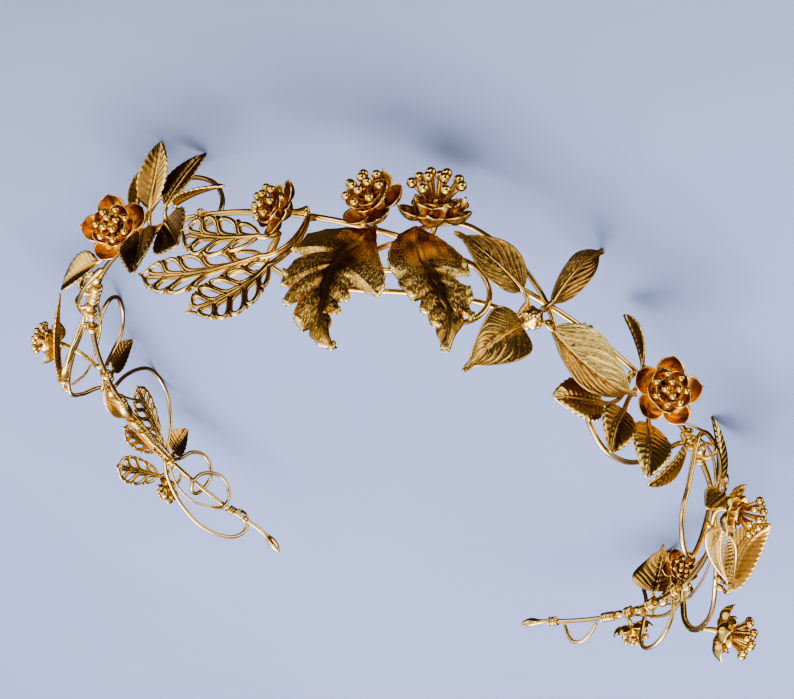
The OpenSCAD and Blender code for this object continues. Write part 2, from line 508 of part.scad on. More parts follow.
// Sleeves of binding wire round the base wire, drawn as their outer form
module binding_coils() {
    bore_r = base_wire_d / 2 + 0.35;
    wall = 0.4;
    color(pale_gold) for (b = BINDINGS) let (out = outward(b[0]))
        translate(at([b[0], 0, 0])) rotate([0, 0, atan2(out[1], out[0])]) rotate([90, 0, 0])
            linear_extrude(b[1], center = true) difference() {
                circle(r = bore_r + wall);
                circle(r = bore_r);
            }
}

base_wire();
vine_wire("lower_rail_wire");  // lower_rail_wire
vine_wire("wire_loop_front");  // wire_loop_front
vine_wire("wire_arc_front");  // wire_arc_front
vine_wire("wire_arc_left");  // wire_arc_left
vine_wire("wire_stem_left");  // wire_stem_left
vine_wire("wire_loop_left_side");  // wire_loop_left_side
vine_wire("wire_scroll_left_back");  // wire_scroll_left_back
vine_wire("wire_loop_left_end");  // wire_loop_left_end
vine_wire("wire_arc_right");  // wire_arc_right
vine_wire("wire_loop_right_side");  // wire_loop_right_side
vine_wire("wire_ring_right_back");  // wire_ring_right_back
vine_wire("wire_scroll_right_back");  // wire_scroll_right_back
vine_wire("wire_loop_right_end");  // wire_loop_right_end
binding_coils();
rose_leaf("rose_leaf_left_1");  // rose_leaf_left_1
rose_leaf("rose_leaf_left_2");  // rose_leaf_left_2
rose_leaf("rose_leaf_left_3");  // rose_leaf_left_3
rose_leaf("rose_leaf_left_4");  // rose_leaf_left_4
rose_leaf("rose_leaf_left_5");  // rose_leaf_left_5
rose_leaf("rose_leaf_left_6");  // rose_leaf_left_6
rose_leaf("pale_leaf_left");  // pale_leaf_left
rose_leaf("narrow_leaf_left");  // narrow_leaf_left
rose_leaf("small_leaf_left");  // small_leaf_left
rose_leaf("leaf_left_back");  // leaf_left_back
rose_leaf("rose_leaf_right_1");  // rose_leaf_right_1
rose_leaf("rose_leaf_right_2");  // rose_leaf_right_2
rose_leaf("rose_leaf_right_3");  // rose_leaf_right_3
rose_leaf("rose_leaf_right_4");  // rose_leaf_right_4
rose_leaf("rose_leaf_right_5");  // rose_leaf_right_5
rose_leaf("rose_leaf_right_6");  // rose_leaf_right_6
rose_leaf("cap_leaf_right");  // cap_leaf_right
rose_leaf("broad_leaf_right");  // broad_leaf_right
smooth_leaf("smooth_leaf_left");  // smooth_leaf_left
smooth_leaf("smooth_leaf_right");  // smooth_leaf_right
smooth_leaf("sprig_leaf_1");  // sprig_leaf_1
smooth_leaf("sprig_leaf_2");  // sprig_leaf_2
smooth_leaf("sprig_leaf_3");  // sprig_leaf_3
smooth_leaf("sprig_leaf_4");  // sprig_leaf_4
sprig_knot();
vine_leaf("vine_leaf_left", LEFT_VINE_OUTLINE);  // vine_leaf_left
vine_leaf("vine_leaf_right", RIGHT_VINE_OUTLINE);  // vine_leaf_right
pierced_leaf("filigree_leaf_front_1");  // filigree_leaf_front_1
pierced_leaf("filigree_leaf_front_2");  // filigree_leaf_front_2
pierced_leaf("filigree_leaf_front_3");  // filigree_leaf_front_3
pierced_leaf("filigree_leaf_back_1");  // filigree_leaf_back_1
pierced_leaf("filigree_leaf_back_2");  // filigree_leaf_back_2
pierced_leaf("filigree_leaf_back_3");  // filigree_leaf_back_3
pierced_leaf("feather_leaf");  // feather_leaf
blossom("blossom_left_side");  // blossom_left_side
blossom("blossom_left");  // blossom_left
blossom("bud_front_left");  // bud_front_left
blossom("blossom_front_left");  // blossom_front_left
blossom("blossom_front_right");  // blossom_front_right
blossom("blossom_right");  // blossom_right
blossom("blossom_right_side");  // blossom_right_side
blossom("blossom_right_back");  // blossom_right_back
blossom("bud_left_back");  // bud_left_back
blossom("bud_right_back");  // bud_right_back
blossom("bud_right_end");  // bud_right_end
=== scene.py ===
"""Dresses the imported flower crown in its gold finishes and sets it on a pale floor.

Each soldered leaf, blossom and wire is worked out from the same places on the band as its CAD node.
"""

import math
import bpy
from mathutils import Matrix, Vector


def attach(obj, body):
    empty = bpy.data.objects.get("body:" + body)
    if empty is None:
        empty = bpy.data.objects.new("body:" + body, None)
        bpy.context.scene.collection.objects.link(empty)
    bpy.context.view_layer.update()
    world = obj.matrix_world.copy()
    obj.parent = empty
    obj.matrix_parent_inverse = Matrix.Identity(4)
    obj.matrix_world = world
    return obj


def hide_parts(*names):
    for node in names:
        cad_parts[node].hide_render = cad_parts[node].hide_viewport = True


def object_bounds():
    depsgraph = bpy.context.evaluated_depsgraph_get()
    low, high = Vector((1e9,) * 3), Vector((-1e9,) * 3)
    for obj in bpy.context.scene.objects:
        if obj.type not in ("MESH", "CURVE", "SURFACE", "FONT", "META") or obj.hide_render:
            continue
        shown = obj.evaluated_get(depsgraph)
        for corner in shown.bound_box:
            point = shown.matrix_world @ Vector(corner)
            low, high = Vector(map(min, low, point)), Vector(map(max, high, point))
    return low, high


bl_info = {
    "name": "Metal flower crown",
    "version": (1, 0, 0),
    "blender": (4, 5, 0),
    "location": "View3D > Sidebar > Crown",
    "description": "Builds the leaves, blossoms and wires of a metal flower crown",
    "category": "Object",
}

import bpy
import numpy as np
from bpy.props import FloatProperty, FloatVectorProperty, PointerProperty
from mathutils import Matrix, Vector

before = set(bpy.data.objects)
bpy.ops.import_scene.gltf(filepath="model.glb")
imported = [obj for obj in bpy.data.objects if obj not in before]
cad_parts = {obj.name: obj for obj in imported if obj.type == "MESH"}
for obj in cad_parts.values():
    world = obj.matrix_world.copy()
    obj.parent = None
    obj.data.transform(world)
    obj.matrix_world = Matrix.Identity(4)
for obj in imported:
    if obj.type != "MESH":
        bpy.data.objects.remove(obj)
cad_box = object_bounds()

MM = 0.001
BODY = "root"
UP = (0, 0, 1)

# Middle of the crown's outline, in mm, moved to the origin
MIDDLE_X, MIDDLE_Y = 0.6, -10.2

# Camera: its place in mm, the direction it looks back from, how far it is rolled over, and its lens in mm
CAMERA_PLACE = (-63.9, -293.3, 163.4)
CAMERA_BACK = (-0.20102, -0.84992, 0.48706)
CAMERA_ROLL = 202.6
CAMERA_LENS, CAMERA_SENSOR = 65.2, 36

# Floor: half its width in metres, and the share of its tint where it is palest, darkest and far from the light
FLOOR_REACH = 6
FLOOR_PALE, FLOOR_DARK, FLOOR_FAR = (1.03, 1.03, 1.03), (0.96, 0.96, 0.96), (0.7, 0.68, 0.56)

# Studio from the ground below to the ceiling above
STUDIO_TONES = (
    (0.0, (0.08, 0.06, 0.045, 1)), (0.12, (0.06, 0.046, 0.034, 1)), (0.22, (0.035, 0.027, 0.02, 1)),
    (0.42, (0.05, 0.04, 0.03, 1)), (0.5, (0.08, 0.07, 0.06, 1)),
    (0.62, (0.2, 0.19, 0.18, 1)), (0.78, (0.85, 0.85, 0.9, 1)), (1.0, (1.4, 1.4, 1.45, 1)),
)
# Soft glows in the studio, the last one a dark corner: towards where, cosines of their outer and inner edge, colour
STUDIO_GLOWS = (
    ((-0.85, -0.35, -0.42), 0.86, 0.97, (2.4, 2.3, 2.1, 1)),
    ((0.95, -0.1, 0.05), 0.88, 0.97, (2.0, 1.95, 1.8, 1)),
    ((0.45, -0.85, 0.25), 0.95, 0.985, (3.6, 3.5, 3.2, 1)),
    ((-0.2, -0.45, 0.87), 0.93, 0.98, (4.0, 3.9, 3.6, 1)),
    ((0.1, -0.98, -0.15), 0.96, 0.99, (3.2, 3.1, 2.9, 1)),
    ((-0.28, -0.86, 0.43), 0.9, 0.96, (0.02, 0.016, 0.012, 1)),
)
# Lamp above: place, aim, width and height in metres, power in watts, colour
OVERHEAD = ((-0.1, 0.3, 0.9), (0, 0, 0), 0.9, 0.7, 12, (1.0, 0.98, 0.95))

# A place on the band is [angle round the head from the front in degrees, height over the base wire, distance outside
# it], the last two in mm as all sizes below are

# How far a stem's end lies from the base wire's centre: half of each wire's thickness and a gap for the solder
SEAT = 1.45

# Vine wires: name, places that the wire goes through
VINES = [
    ["lower_rail_wire", [[13, 12, 0.6], [11, 13, -0.8], [8, 13.5, -1.5], [4, 13.6, -1.6], [-1, 12.6, -1.6],
        [-6, 10.6, -1.5], [-11, 8.3, -1.4], [-16, 6.5, -1], [-20, 5.7, -0.5], [-23.5, 5.6, 0.1]]],
    ["wire_loop_front", [[-3.5, 0.3, -1.4], [-1.8, 2, -1.5], [0, 5, -1.2], [0.4, 7.6, -0.4], [-1, 8.9, 0.6],
        [-3, 8.9, 1.2], [-5, 8.2, 1.4], [-7, 6.4, 1.4], [-9, 4.3, 1.4], [-12, 1.9, 1.5], [-14, 1.2, 1.6],
        [-16, 2.2, 1.5], [-17.6, 4.6, 1.5], [-18, 8, 1.5], [-17.1, 11.3, 1.5], [-15.4, 13.4, 1.5],
        [-13.4, 13.8, 1.5], [-11, 12.4, 1.1]]],
    ["wire_arc_front", [[-4.6, -1.3, 0.3], [-6.6, -3.4, 1], [-9, -5.5, 1.4], [-11.5, -6.6, 1.4],
        [-14.5, -6.2, 1.4], [-18, -5, 1.4], [-21.5, -2.9, 1.4], [-24.3, -0.4, 1.45], [-26.5, 2, 1.2],
        [-28.2, 4.7, 0.9], [-30, 7.6, 0.6], [-32, 9, 0.3]]],
    ["wire_arc_left", [[49.5, -1.4, -0.3], [49.5, -7, -0.8], [47.5, -13.2, -0.9], [44, -15.4, -0.9],
        [40, -14.6, -0.8], [35.5, -12.8, -0.8], [31, -9.9, -0.9], [28.2, -6.5, -1.1], [27, -3.4, -1.4],
        [27, 0, -1.5], [28.5, 2.6, -1]]],
    ["wire_stem_left", [[76, -1.2, 0.9], [78, -4, 2.8], [81, -5, 4.6], [84.3, -1.8, 5.2], [86, 2.8, 5.1],
        [88, 7.3, 4.8], [90.5, 9.6, 4], [93, 7, 3.2], [95, 3, 2.2], [96.2, 1, 1.2]]],
    ["wire_loop_left_side", [[83, -1.3, 0.3], [82, -6, 1.2], [82, -11, 1.4], [84.5, -14.8, 1.6], [88, -16.5, 2],
        [91.2, -15.2, 1.8], [92.8, -11.5, 1.4], [93, -7, 1.3], [92.5, -3.4, 0.8], [92, -1.3, 0.2]]],
    ["wire_scroll_left_back", [[98, -1.3, 0.3], [100, -6, 1.3], [102.8, -11, 2], [106, -15, 2.6], [109, -16.5, 3],
        [112.2, -15.9, 2.6], [115, -13.3, 2], [117.3, -9, 1.5], [118.4, -5, 1.2], [119.2, -2, 0.9],
        [121, -1.2, 0.9], [123, -3, 1.2], [125, -7, 1.4], [127.5, -8.8, 1.4], [130, -8, 1.4], [131.5, -5, 1.4],
        [131.3, -1.5, 1.5], [130.3, 1.5, 1.3], [128.4, 2.6, 0], [127, 1, -1.4], [128, -2.5, -1.5],
        [130.5, -5, -1.4], [133, -5.8, -1.4], [135.3, -4.2, -1.4], [136.3, -1.5, -1.5], [135.8, 1.5, -1.3],
        [134.2, 3, -0.4]]],
    ["wire_loop_left_end", [[119.5, 1.3, 0.3], [122, 3.6, 1], [126, 6.2, 1.3], [130, 7.8, 1.4], [134, 8.6, 1.4],
        [138, 8, 1.4], [141.5, 6, 1.4], [143.3, 3, 1.4], [143.3, 0, 1.5], [142, -1.9, 1.2], [140.2, -1.5, 0.3]]],
    ["wire_arc_right", [[-33.6, 9.6, -0.4], [-35.4, 11, -1.2], [-37.2, 13.4, -1.4], [-39, 15.8, -1.4],
        [-41.5, 17.4, -1.4], [-44, 17.6, -1.4], [-47.5, 16, -1.4], [-51, 12.4, -1.4], [-54.5, 7, -1.4],
        [-57, 3, -1.2], [-58.4, 1.1, -0.6]]],
    ["wire_loop_right_side", [[-73, -1.4, 0.5], [-71, -3.8, 1.2], [-68, -4.9, 1.4], [-64, -4.8, 1.4],
        [-60.8, -3.6, 1.4], [-59.2, -1, 1.5], [-59.1, 2, 1.5], [-59.8, 6, 1.4], [-60.3, 10, 1.4],
        [-60.4, 14, 1.4], [-61.4, 17.6, 1.4], [-63.2, 20, 1.4], [-65.5, 20.7, 1.4], [-68, 19, 1.4],
        [-69.5, 15, 1.4], [-70, 10, 1.4], [-70, 5, 1.2], [-70, 1.4, 0.3]]],
    ["wire_ring_right_back", [[-76, 1.3, 0.4], [-77.5, 6, 2], [-79, 10.5, 2.8], [-82.5, 14.2, 3.4],
        [-87, 15.8, 3.8], [-92, 15.8, 3.7], [-97, 14.8, 3.2], [-101, 12.6, 2.6], [-104, 9, 1.8],
        [-105.6, 4.5, 1.2], [-105.2, 1.3, 0.4]]],
    ["wire_scroll_right_back", [[-109.5, 1.3, 0.3], [-109.3, 5, 1.2], [-110.5, 9.5, 1.4], [-113.5, 11.9, 1.4],
        [-117, 11.5, 1.4], [-119.3, 8.5, 1.4], [-120, 4, 1.4], [-120.4, 0, 1.5], [-121.5, -4, 1.4],
        [-123.4, -8, 1.4], [-124, -11.8, 1.6], [-122.6, -15.2, 1.9], [-119.5, -16.5, 2], [-116, -15.5, 1.8],
        [-113.6, -12, 1.4], [-113.4, -7, 1.2], [-113.8, -3, 0.8], [-114, -1.3, 0.2]]],
    ["wire_loop_right_end", [[-141.4, 1.3, 0.4], [-140.4, 3.6, 1.1], [-138.8, 5.5, 1.4], [-136.8, 5.6, 1.4],
        [-134.8, 3.8, 1.1], [-133.4, 1.3, 0.4]]],
]

# Bindings: angle of the middle, length along the base wire
BINDINGS = [
    [-9.6, 2.6], [-63.4, 1.6], [74, 3], [113, 7], [138.5, 2.4], [-130, 5], [-144.4, 3],
]

# Serrated leaves: name, seat on its wire, foot, tip, width, fold, arch, sideways bend, roll
ROSE_LEAVES = [
    ["rose_leaf_left_1", [42, -SEAT, 0], [41, -4, 2.4], [39.5, -16.8, 8.2], 8.8, 0.28, 0.8, 1.4, -15],
    ["rose_leaf_left_2", [46.6, -SEAT, 0], [46, -4, 1.6], [45.4, -16.4, 5], 7.5, 0.3, 0.6, 0, 40],
    ["rose_leaf_left_3", [37.4, -SEAT, 0], [36.6, -3, 2], [34.2, -16.8, 1.6], 7, 0.3, 0.2, -0.6, -12],
    ["rose_leaf_left_4", [34.2, -SEAT, 0], [33.4, -1.8, 2.6], [23, -2.2, 5.2], 6, 0.25, 0.4, 0.4, 42],
    ["rose_leaf_left_5", [34.4, SEAT, 0], [34, 2.4, 2.2], [28, 9.8, 2.8], 10.2, 0.2, -0.6, 0, -14],
    ["rose_leaf_left_6", [39.5, SEAT, 0], [39.2, 3.2, 2.6], [34.8, 15.6, 2.8], 8.6, 0.22, 0.8, -1.4, 10],
    ["pale_leaf_left", [50.4, 0, SEAT], [51, 5.4, 3], [58.6, 9, 6], 9, 0.2, 0.8, 0, 10],
    ["narrow_leaf_left", [89.6, 9.6, 5.4], [88.4, 8.6, 5.9], [74.2, -1.6, 8.8], 5.4, 0.2, 0.4, 0.8, -14],
    ["small_leaf_left", [95.4, -SEAT, 0], [96.6, -4.4, 1.6], [99.2, -16.6, 3.4], 6, 0.2, 0.5, 0, 20],
    ["leaf_left_back", [121.6, -2.4, 2], [122.4, -4.4, 3.6], [123.6, -13.4, 5], 7.4, 0.2, 0.5, 0, 5],
    ["rose_leaf_right_1", [-42.4, SEAT, -0.5], [-38.6, 11.4, 0.6], [-30.2, 18.2, 3], 8.4, 0.12, 0.3, 0, -10],
    ["rose_leaf_right_2", [-44.6, SEAT, 0.2], [-41, 11.4, 3.2], [-39.6, 22.4, 5.6], 7.4, 0.24, 0.4, 0.8, -15],
    ["rose_leaf_right_3", [-46.8, SEAT, 0], [-45.8, 9.8, 3.2], [-45.2, 22.6, 7.4], 8.2, 0.22, 0.6, 0, -25],
    ["rose_leaf_right_4", [-57, SEAT, 0], [-57.2, 2.6, 0.6], [-54.2, 15, -2.6], 7.6, 0.3, 0.6, 0, 27],
    ["rose_leaf_right_5", [-44, -SEAT, 0], [-43.8, -2.6, -0.2], [-40.9, -13.5, -5.6], 7.4, 0.25, 0.4, 0, -42],
    ["rose_leaf_right_6", [-75.8, -SEAT, 0], [-75.4, -3, -0.2], [-70.6, -16.9, -3.6], 8, 0.28, 0.6, 0.6, 2],
    ["cap_leaf_right", [-72.6, 0, SEAT], [-72, 0.6, 2.6], [-67, 8.6, 2.2], 5.6, 0.2, 0.3, 0, -60],
    ["broad_leaf_right", [-82, 14.6, 5.3], [-80.4, 15.4, 6.8], [-73, 5, 13.2], 8, 0.2, 0.8, 3, -60],
]

# Smooth leaves: name, seat, foot, tip, width, cup, arch, sideways bend, roll
SMOOTH_LEAVES = [
    ["sprig_leaf_1", [-22.7, 4, 3.2], [-21.4, 2.4, 3.4], [-10.8, -1.2, 5.6], 7.4, 0.3, 0.8, 0.6, 20],
    ["sprig_leaf_2", [-24.8, 3.7, 3.2], [-25.6, 1.6, 3.5], [-30.8, -16.9, 1], 5.8, 0.3, 0.8, -1.4, -10],
    ["sprig_leaf_3", [-23, 8, 3.4], [-22.8, 9.6, 3.6], [-17.8, 24.4, 6.2], 10, 0.3, 1, 0.8, 10],
    ["sprig_leaf_4", [-25.8, 6, 3.2], [-27, 6.4, 3.2], [-42.2, 6.4, 2.6], 10.8, 0.24, 0.6, 2, -5],
    ["smooth_leaf_left", [108.4, 0, SEAT], [107.2, -0.4, 2.6], [97.6, -1.2, 3.4], 5, 0.2, 0.5, 0, 0],
    ["smooth_leaf_right", [-116.6, -SEAT, 0], [-116.8, -3.4, -0.6], [-116.6, -15.6, -1.6], 14, 0.2, 0.6, 0, -50],
]

# Pierced leaves: name, seat, foot, tip, width, openings a side, slant, arch, sideways bend, roll
PIERCED_LEAVES = [
    ["filigree_leaf_front_1", [9.6, 1.7, 1.5], [13, 12.4, 2.4], [32.6, 16.4, 2.8], 9.4, 5, 0.5, 0.8, -2.6, 0],
    ["filigree_leaf_front_2", [9, 2.2, 2.6], [10.6, 15.6, 4.4], [17.4, 29, 6.4], 10, 5, 0.5, 0.6, -2, 5],
    ["filigree_leaf_front_3", [11.6, 7.4, 3.5], [13.4, 10, 5.2], [25.4, 9.8, 6.2], 9, 4, 0.5, 0.6, -1.2, 5],
    ["filigree_leaf_back_1", [122.4, 0.4, SEAT], [121.2, 4.4, 2.9], [111.6, 10.8, 3.6], 7.4, 4, 0.5, 0.4, 0, 0],
    ["filigree_leaf_back_2", [118, -SEAT, 0], [116, -3.4, 0.8], [105, -8.2, 1.4], 7.6, 5, 0.5, 0.6, 0, 0],
    ["filigree_leaf_back_3", [119, 0.2, SEAT], [117.8, -0.4, 2.8], [108.8, 1.4, 3.8], 5.6, 4, 0.5, 0.4, 0, 0],
    ["feather_leaf", [-80.5, 13.8, 4.6], [-79, 14.8, 6], [-69.4, 10.9, 5.4], 7.6, 14, 0.7, -0.6, 0.8, -70],
]

# Vine leaves: name, seat, foot, tip, dome, places with a painted highlight as shares of the length, arch, sideways
# bend, roll
VINE_LEAVES = [
    ["vine_leaf_left", [0.2, 0.4, SEAT], [0, 1.6, 2.2], [-2, 29.3, 5.2], 3, [[0.15, 0.28], [0.22, 0.34],
        [0.34, -0.13], [0.48, -0.14]], 1.2, 0, 0],
    ["vine_leaf_right", [-5, -0.4, SEAT], [-5.3, -1.5, 2], [-14.8, 22.3, 6.2], 3, [[0.46, -0.2], [0.4, 0.12],
        [0.2, -0.06]], 1.2, 0, 0],
]

# Rows of a vine leaf from foot to tip, in shares of its length: the vein along and across the leaf, the left edge and
# the right edge in the same way, and how far each of these edges rises or sinks
VINE_OUTLINES = {
    "vine_leaf_left": [
        [0, 0, 0, 0.02, 0, -0.02, 0, 0], [0.06, 0.02, 0.04, 0.16, 0.06, -0.04, 0.3, 0.2],
        [0.14, 0.04, 0.1, 0.28, 0.14, -0.06, 0.6, 0.5], [0.2, 0.06, 0.18, 0.38, 0.24, -0.1, 0.9, 0.7],
        [0.26, 0.1, 0.34, 0.44, 0.32, -0.14, 1, 0.8], [0.3, 0.12, 0.36, 0.34, 0.4, -0.18, -1, 0.9],
        [0.34, 0.12, 0.44, 0.4, 0.52, -0.2, 0.6, 1], [0.36, 0.14, 0.56, 0.44, 0.58, -0.18, 1, 0.9],
        [0.38, 0.14, 0.64, 0.42, 0.56, -0.1, 0.9, 0.2], [0.42, 0.16, 0.64, 0.36, 0.52, 0, -1, -1],
        [0.48, 0.16, 0.78, 0.36, 0.56, 0.02, 1, -0.4], [0.56, 0.16, 0.72, 0.28, 0.66, 0, -1, 1],
        [0.64, 0.14, 0.88, 0.26, 0.68, 0.06, 1, -1], [0.72, 0.14, 0.94, 0.2, 0.76, 0.02, 0.8, 1],
        [0.8, 0.12, 0.9, 0.16, 0.78, 0.1, -0.6, -1], [0.88, 0.1, 0.96, 0.14, 0.88, 0.06, 0.4, 0.5],
        [0.94, 0.06, 1, 0.08, 0.96, 0.02, 0.8, 0.8], [1, 0, 1.01, 0.02, 1, -0.02, 1, 1],
    ],
    "vine_leaf_right": [
        [0, 0, 0, 0.02, 0, -0.02, 0, 0], [0.04, 0, 0.02, 0.06, 0.04, -0.06, 0.2, 0.2],
        [0.1, 0.02, 0.06, 0.12, 0.1, -0.12, 0.4, 0.4], [0.16, 0.02, 0.14, 0.18, 0.16, -0.16, 0.6, 0.6],
        [0.22, 0.02, 0.22, 0.22, 0.22, -0.2, 0.8, 0.7], [0.28, 0.02, 0.3, 0.24, 0.3, -0.24, 0.9, 0.9],
        [0.32, 0.02, 0.38, 0.24, 0.38, -0.26, 1, 1], [0.36, 0, 0.42, 0.22, 0.46, -0.26, 0.2, 1],
        [0.38, 0, 0.46, 0.2, 0.46, -0.2, -0.4, 0.2], [0.42, -0.02, 0.54, 0.18, 0.46, -0.14, 0.6, -1],
        [0.44, -0.02, 0.6, 0.16, 0.52, -0.18, 1, -0.2], [0.48, -0.02, 0.64, 0.14, 0.56, -0.22, 0.8, 0.8],
        [0.52, -0.04, 0.62, 0.08, 0.6, -0.24, -1, 1], [0.58, -0.04, 0.74, 0.1, 0.66, -0.24, 1, 1],
        [0.64, -0.04, 0.74, 0.06, 0.7, -0.2, -0.6, 0.6], [0.7, -0.06, 0.84, 0.04, 0.8, -0.22, 1, 1],
        [0.78, -0.06, 0.8, 0, 0.76, -0.14, -0.6, -1], [0.88, -0.04, 0.92, 0.02, 0.88, -0.1, 0.5, 0.5],
        [1, 0, 1, 0.02, 1, -0.02, 1, 1],
    ],
}

# Painted shade on a leaf's left and right half, or on a blossom's outer petals and its middle, darker above nothing
# and a painted highlight below it, and how deep a leaf's veins are pressed
PAINTED_SHADE_AND_VEINS = {
    "rose_leaf_left_1": (0.5, -0.4, 0.6), "rose_leaf_left_2": (0.9, 0.9, 1), "rose_leaf_left_3": (0.6, 0.2, 1),
    "rose_leaf_left_4": (0.2, -0.2, 1), "rose_leaf_left_5": (2, 2, 1), "rose_leaf_left_6": (0.9, 0.9, 1),
    "rose_leaf_right_6": (-0.5, -0.5, 1), "pale_leaf_left": (-0.4, -0.3, 0.5), "small_leaf_left": (-0.5, -0.2, 0.5),
    "leaf_left_back": (-0.6, -0.3, 0.5), "rose_leaf_right_2": (0.1, 0.1, 0.8),
    "rose_leaf_right_1": (-0.4, -0.4, 0.8), "rose_leaf_right_3": (-0.5, -0.5, 0.8),
    "rose_leaf_right_5": (-0.2, -0.2, 0.5), "cap_leaf_right": (-0.9, -0.9, 0.7), "broad_leaf_right": (-1, -1, 0.3),
    "sprig_leaf_1": (0.7, 2, 1), "sprig_leaf_2": (1.8, 0.4, 1), "sprig_leaf_3": (-0.3, -0.3, 1),
    "sprig_leaf_4": (-0.6, 0.4, 1), "smooth_leaf_right": (0.2, 0, 0.3), "smooth_leaf_left": (-0.3, -0.3, 0.5),
    "blossom_left": (-0.2, -0.2, 1), "blossom_right": (-0.2, -0.2, 1), "bud_front_left": (0.8, 0.4, 1),
    "blossom_front_left": (0.8, 0.1, 1), "blossom_front_right": (0.8, 0.1, 1),
}
NO_PAINTED_SHADE = (0, 0, 1)

# Fine wires: thickness as a radius in the middle and at the far end, places
FINE_WIRES = [
    [0.75, 0.35, [[79, -0.9, 0.6], [79.9, -0.9, 2.6], [81.2, 3.3, 3], [82.3, 7.5, 3.4], [84.1, 9.6, 3.9],
        [86.7, 9.9, 4.4]]],
    [0.35, 0.3, [[75, -0.9, 0.6], [75.6, -1.1, 2.2], [78.2, 3.5, 2.5], [80.9, 6.9, 3], [84, 9.6, 3.4],
        [87.6, 9, 4.4]]],
    [0.35, 0.3, [[76, -1.4, 0.4], [76.7, -5, 1], [81.8, -6.5, 1.5], [85.1, -5.2, 1.5], [87.5, -1.5, 1.6],
        [89.6, 3.6, 2.4], [89.4, 8, 4]]],
    [0.35, 0.3, [[93, 1, 0.6], [96, 1.6, 0.9], [102, 1.1, 1], [109, 1.2, 1], [115, 1, 1.1], [121, 0.9, 0.8]]],
    [0.3, 0.3, [[92, 0.5, -0.9], [95, 0.9, -0.8], [101.4, 0.4, -1], [108, -0.5, -1.1], [115, -0.8, -0.8],
        [120, -0.7, -0.7]]],
    [0.35, 0.3, [[121, 1, 0.6], [123, 2.2, 1.1], [126, 3.8, 1.4], [130, 4.2, 1.4], [133.5, 2.6, 1.3],
        [136, 0.9, 0.7]]],
    [0.35, 0.3, [[-56, -0.9, 0.7], [-58, -1.8, 1.6], [-60.6, -3.1, 2], [-63.2, -3.7, 2.1], [-66.6, -3.9, 2],
        [-69.6, -2.8, 1.7], [-72, -1.2, 0.8]]],
    [0.3, 0.3, [[-56.5, 0.9, 0.7], [-59, -0.4, 1.6], [-62, -1.6, 1.6], [-66, -1.8, 1.6], [-70, -1.2, 1],
        [-74, -0.6, 0.9]]],
    [0.35, 0.3, [[-84, -0.9, 0.7], [-90, -4, 1.2], [-97, -6, 1.5], [-105, -5.6, 1.6], [-112, -3.6, 1.6],
        [-119, -1.6, 1]]],
    [0.3, 0.3, [[-88, 0.9, 0.7], [-94, 2.6, 1.2], [-101, 3.6, 1.4], [-108, 2.8, 1.4], [-113, 1.2, 0.8]]],
    [0.8, 0.6, [[-92, 15.8, 3.7], [-97, 14.8, 3.3], [-101, 12.6, 2.7], [-104, 9, 2], [-105.4, 5, 1.5],
        [-106.6, 0.8, 0.7]]],
    [0.5, 0.4, [[58, 0.9, 0.6], [61, 2.4, 1.6], [65, 3, 2.2], [70, 2.4, 2.4], [74, 0.8, 1.6], [77, -0.9, 0.6]]],
    [0.5, 0.4, [[60, -0.9, 0.6], [63, -2, 1.4], [67, -2.2, 1.8], [71, -1.2, 1.6], [75, 0.9, 0.8]]],
    [0.35, 0.3, [[100, -0.9, 0.6], [104, -3.4, 1], [108, -6.4, 1.3], [112, -6.6, 1.4], [115.4, -3.8, 1.2],
        [117, -1, 0.7]]],
    [0.5, 0.4, [[-104, 0.9, 0.7], [-108, 2.6, 1.6], [-113, 3.2, 2.2], [-118, 2.2, 1.9], [-122, 0.9, 0.8]]],
    [0.4, 0.35, [[-109, -0.9, 0.7], [-112, -2.2, 1.6], [-116, -2.8, 2.6], [-120, -3, 2.2], [-123, -2, 1.4],
        [-125, -0.9, 0.6]]],
]
# Coils on the base wire: angle of the middle, length along the wire
FINE_COILS = [
    [67, 8], [78.5, 2.4], [93, 2], [101.6, 5], [108, 3], [120.6, 2], [-57.6, 1.6], [-60.4, 1.6], [-73.4, 1.8],
    [-108, 2.4], [-117, 3.4], [-124, 3], [29, 2], [-33, 2],
]
# Drops of gold on the base wire: place, radius, how far drawn out
DROPS = [
    [[104, 0.2, 0.3], 1.7, 2.2], [[98.4, 0.5, 0.8], 1.3, 1.4], [[109, 0, 0.2], 1.2, 1.6],
    [[62, 0.6, 0.6], 1.3, 1.3], [[72.6, -0.3, 0.9], 1.2, 1.4], [[87.8, 8.4, 4.7], 1, 1.3],
    [[-61.8, -0.3, 0.7], 1.1, 1.2], [[-105, 0.4, 0.8], 1.3, 1.3], [[-111, -0.3, 1], 1.4, 1.3],
    [[-113.6, 0.6, 0.4], 1.2, 1.6], [[-121.6, 0.3, 0.4], 1.3, 1.5], [[-127, 0, 0], 1.1, 1.8],
    [[142, 0, 0.2], 1, 1.4],
]
# Small rings beside the base wire: place of the middle, radius, thickness as a radius, turn out of the wire's way
RINGS = [
    [[63.4, 0.6, 2], 2, 0.5, 30], [[66.4, -0.8, 2], 2.2, 0.5, 100], [[70.2, 0.4, 1.9], 2, 0.45, 60],
    [[86.9, 9, 5], 1.2, 0.4, 80], [[96, 0.4, 1.6], 1.7, 0.4, 20], [[-72.4, -2.6, 2.2], 1.6, 0.45, 0],
    [[-62.4, -0.8, 1.8], 1.7, 0.4, 90], [[-107, 0.4, 1.8], 1.8, 0.45, 40], [[-110.6, -0.6, 2], 2, 0.45, 110],
    [[-119.4, 0.5, 1.6], 1.7, 0.4, 10],
]

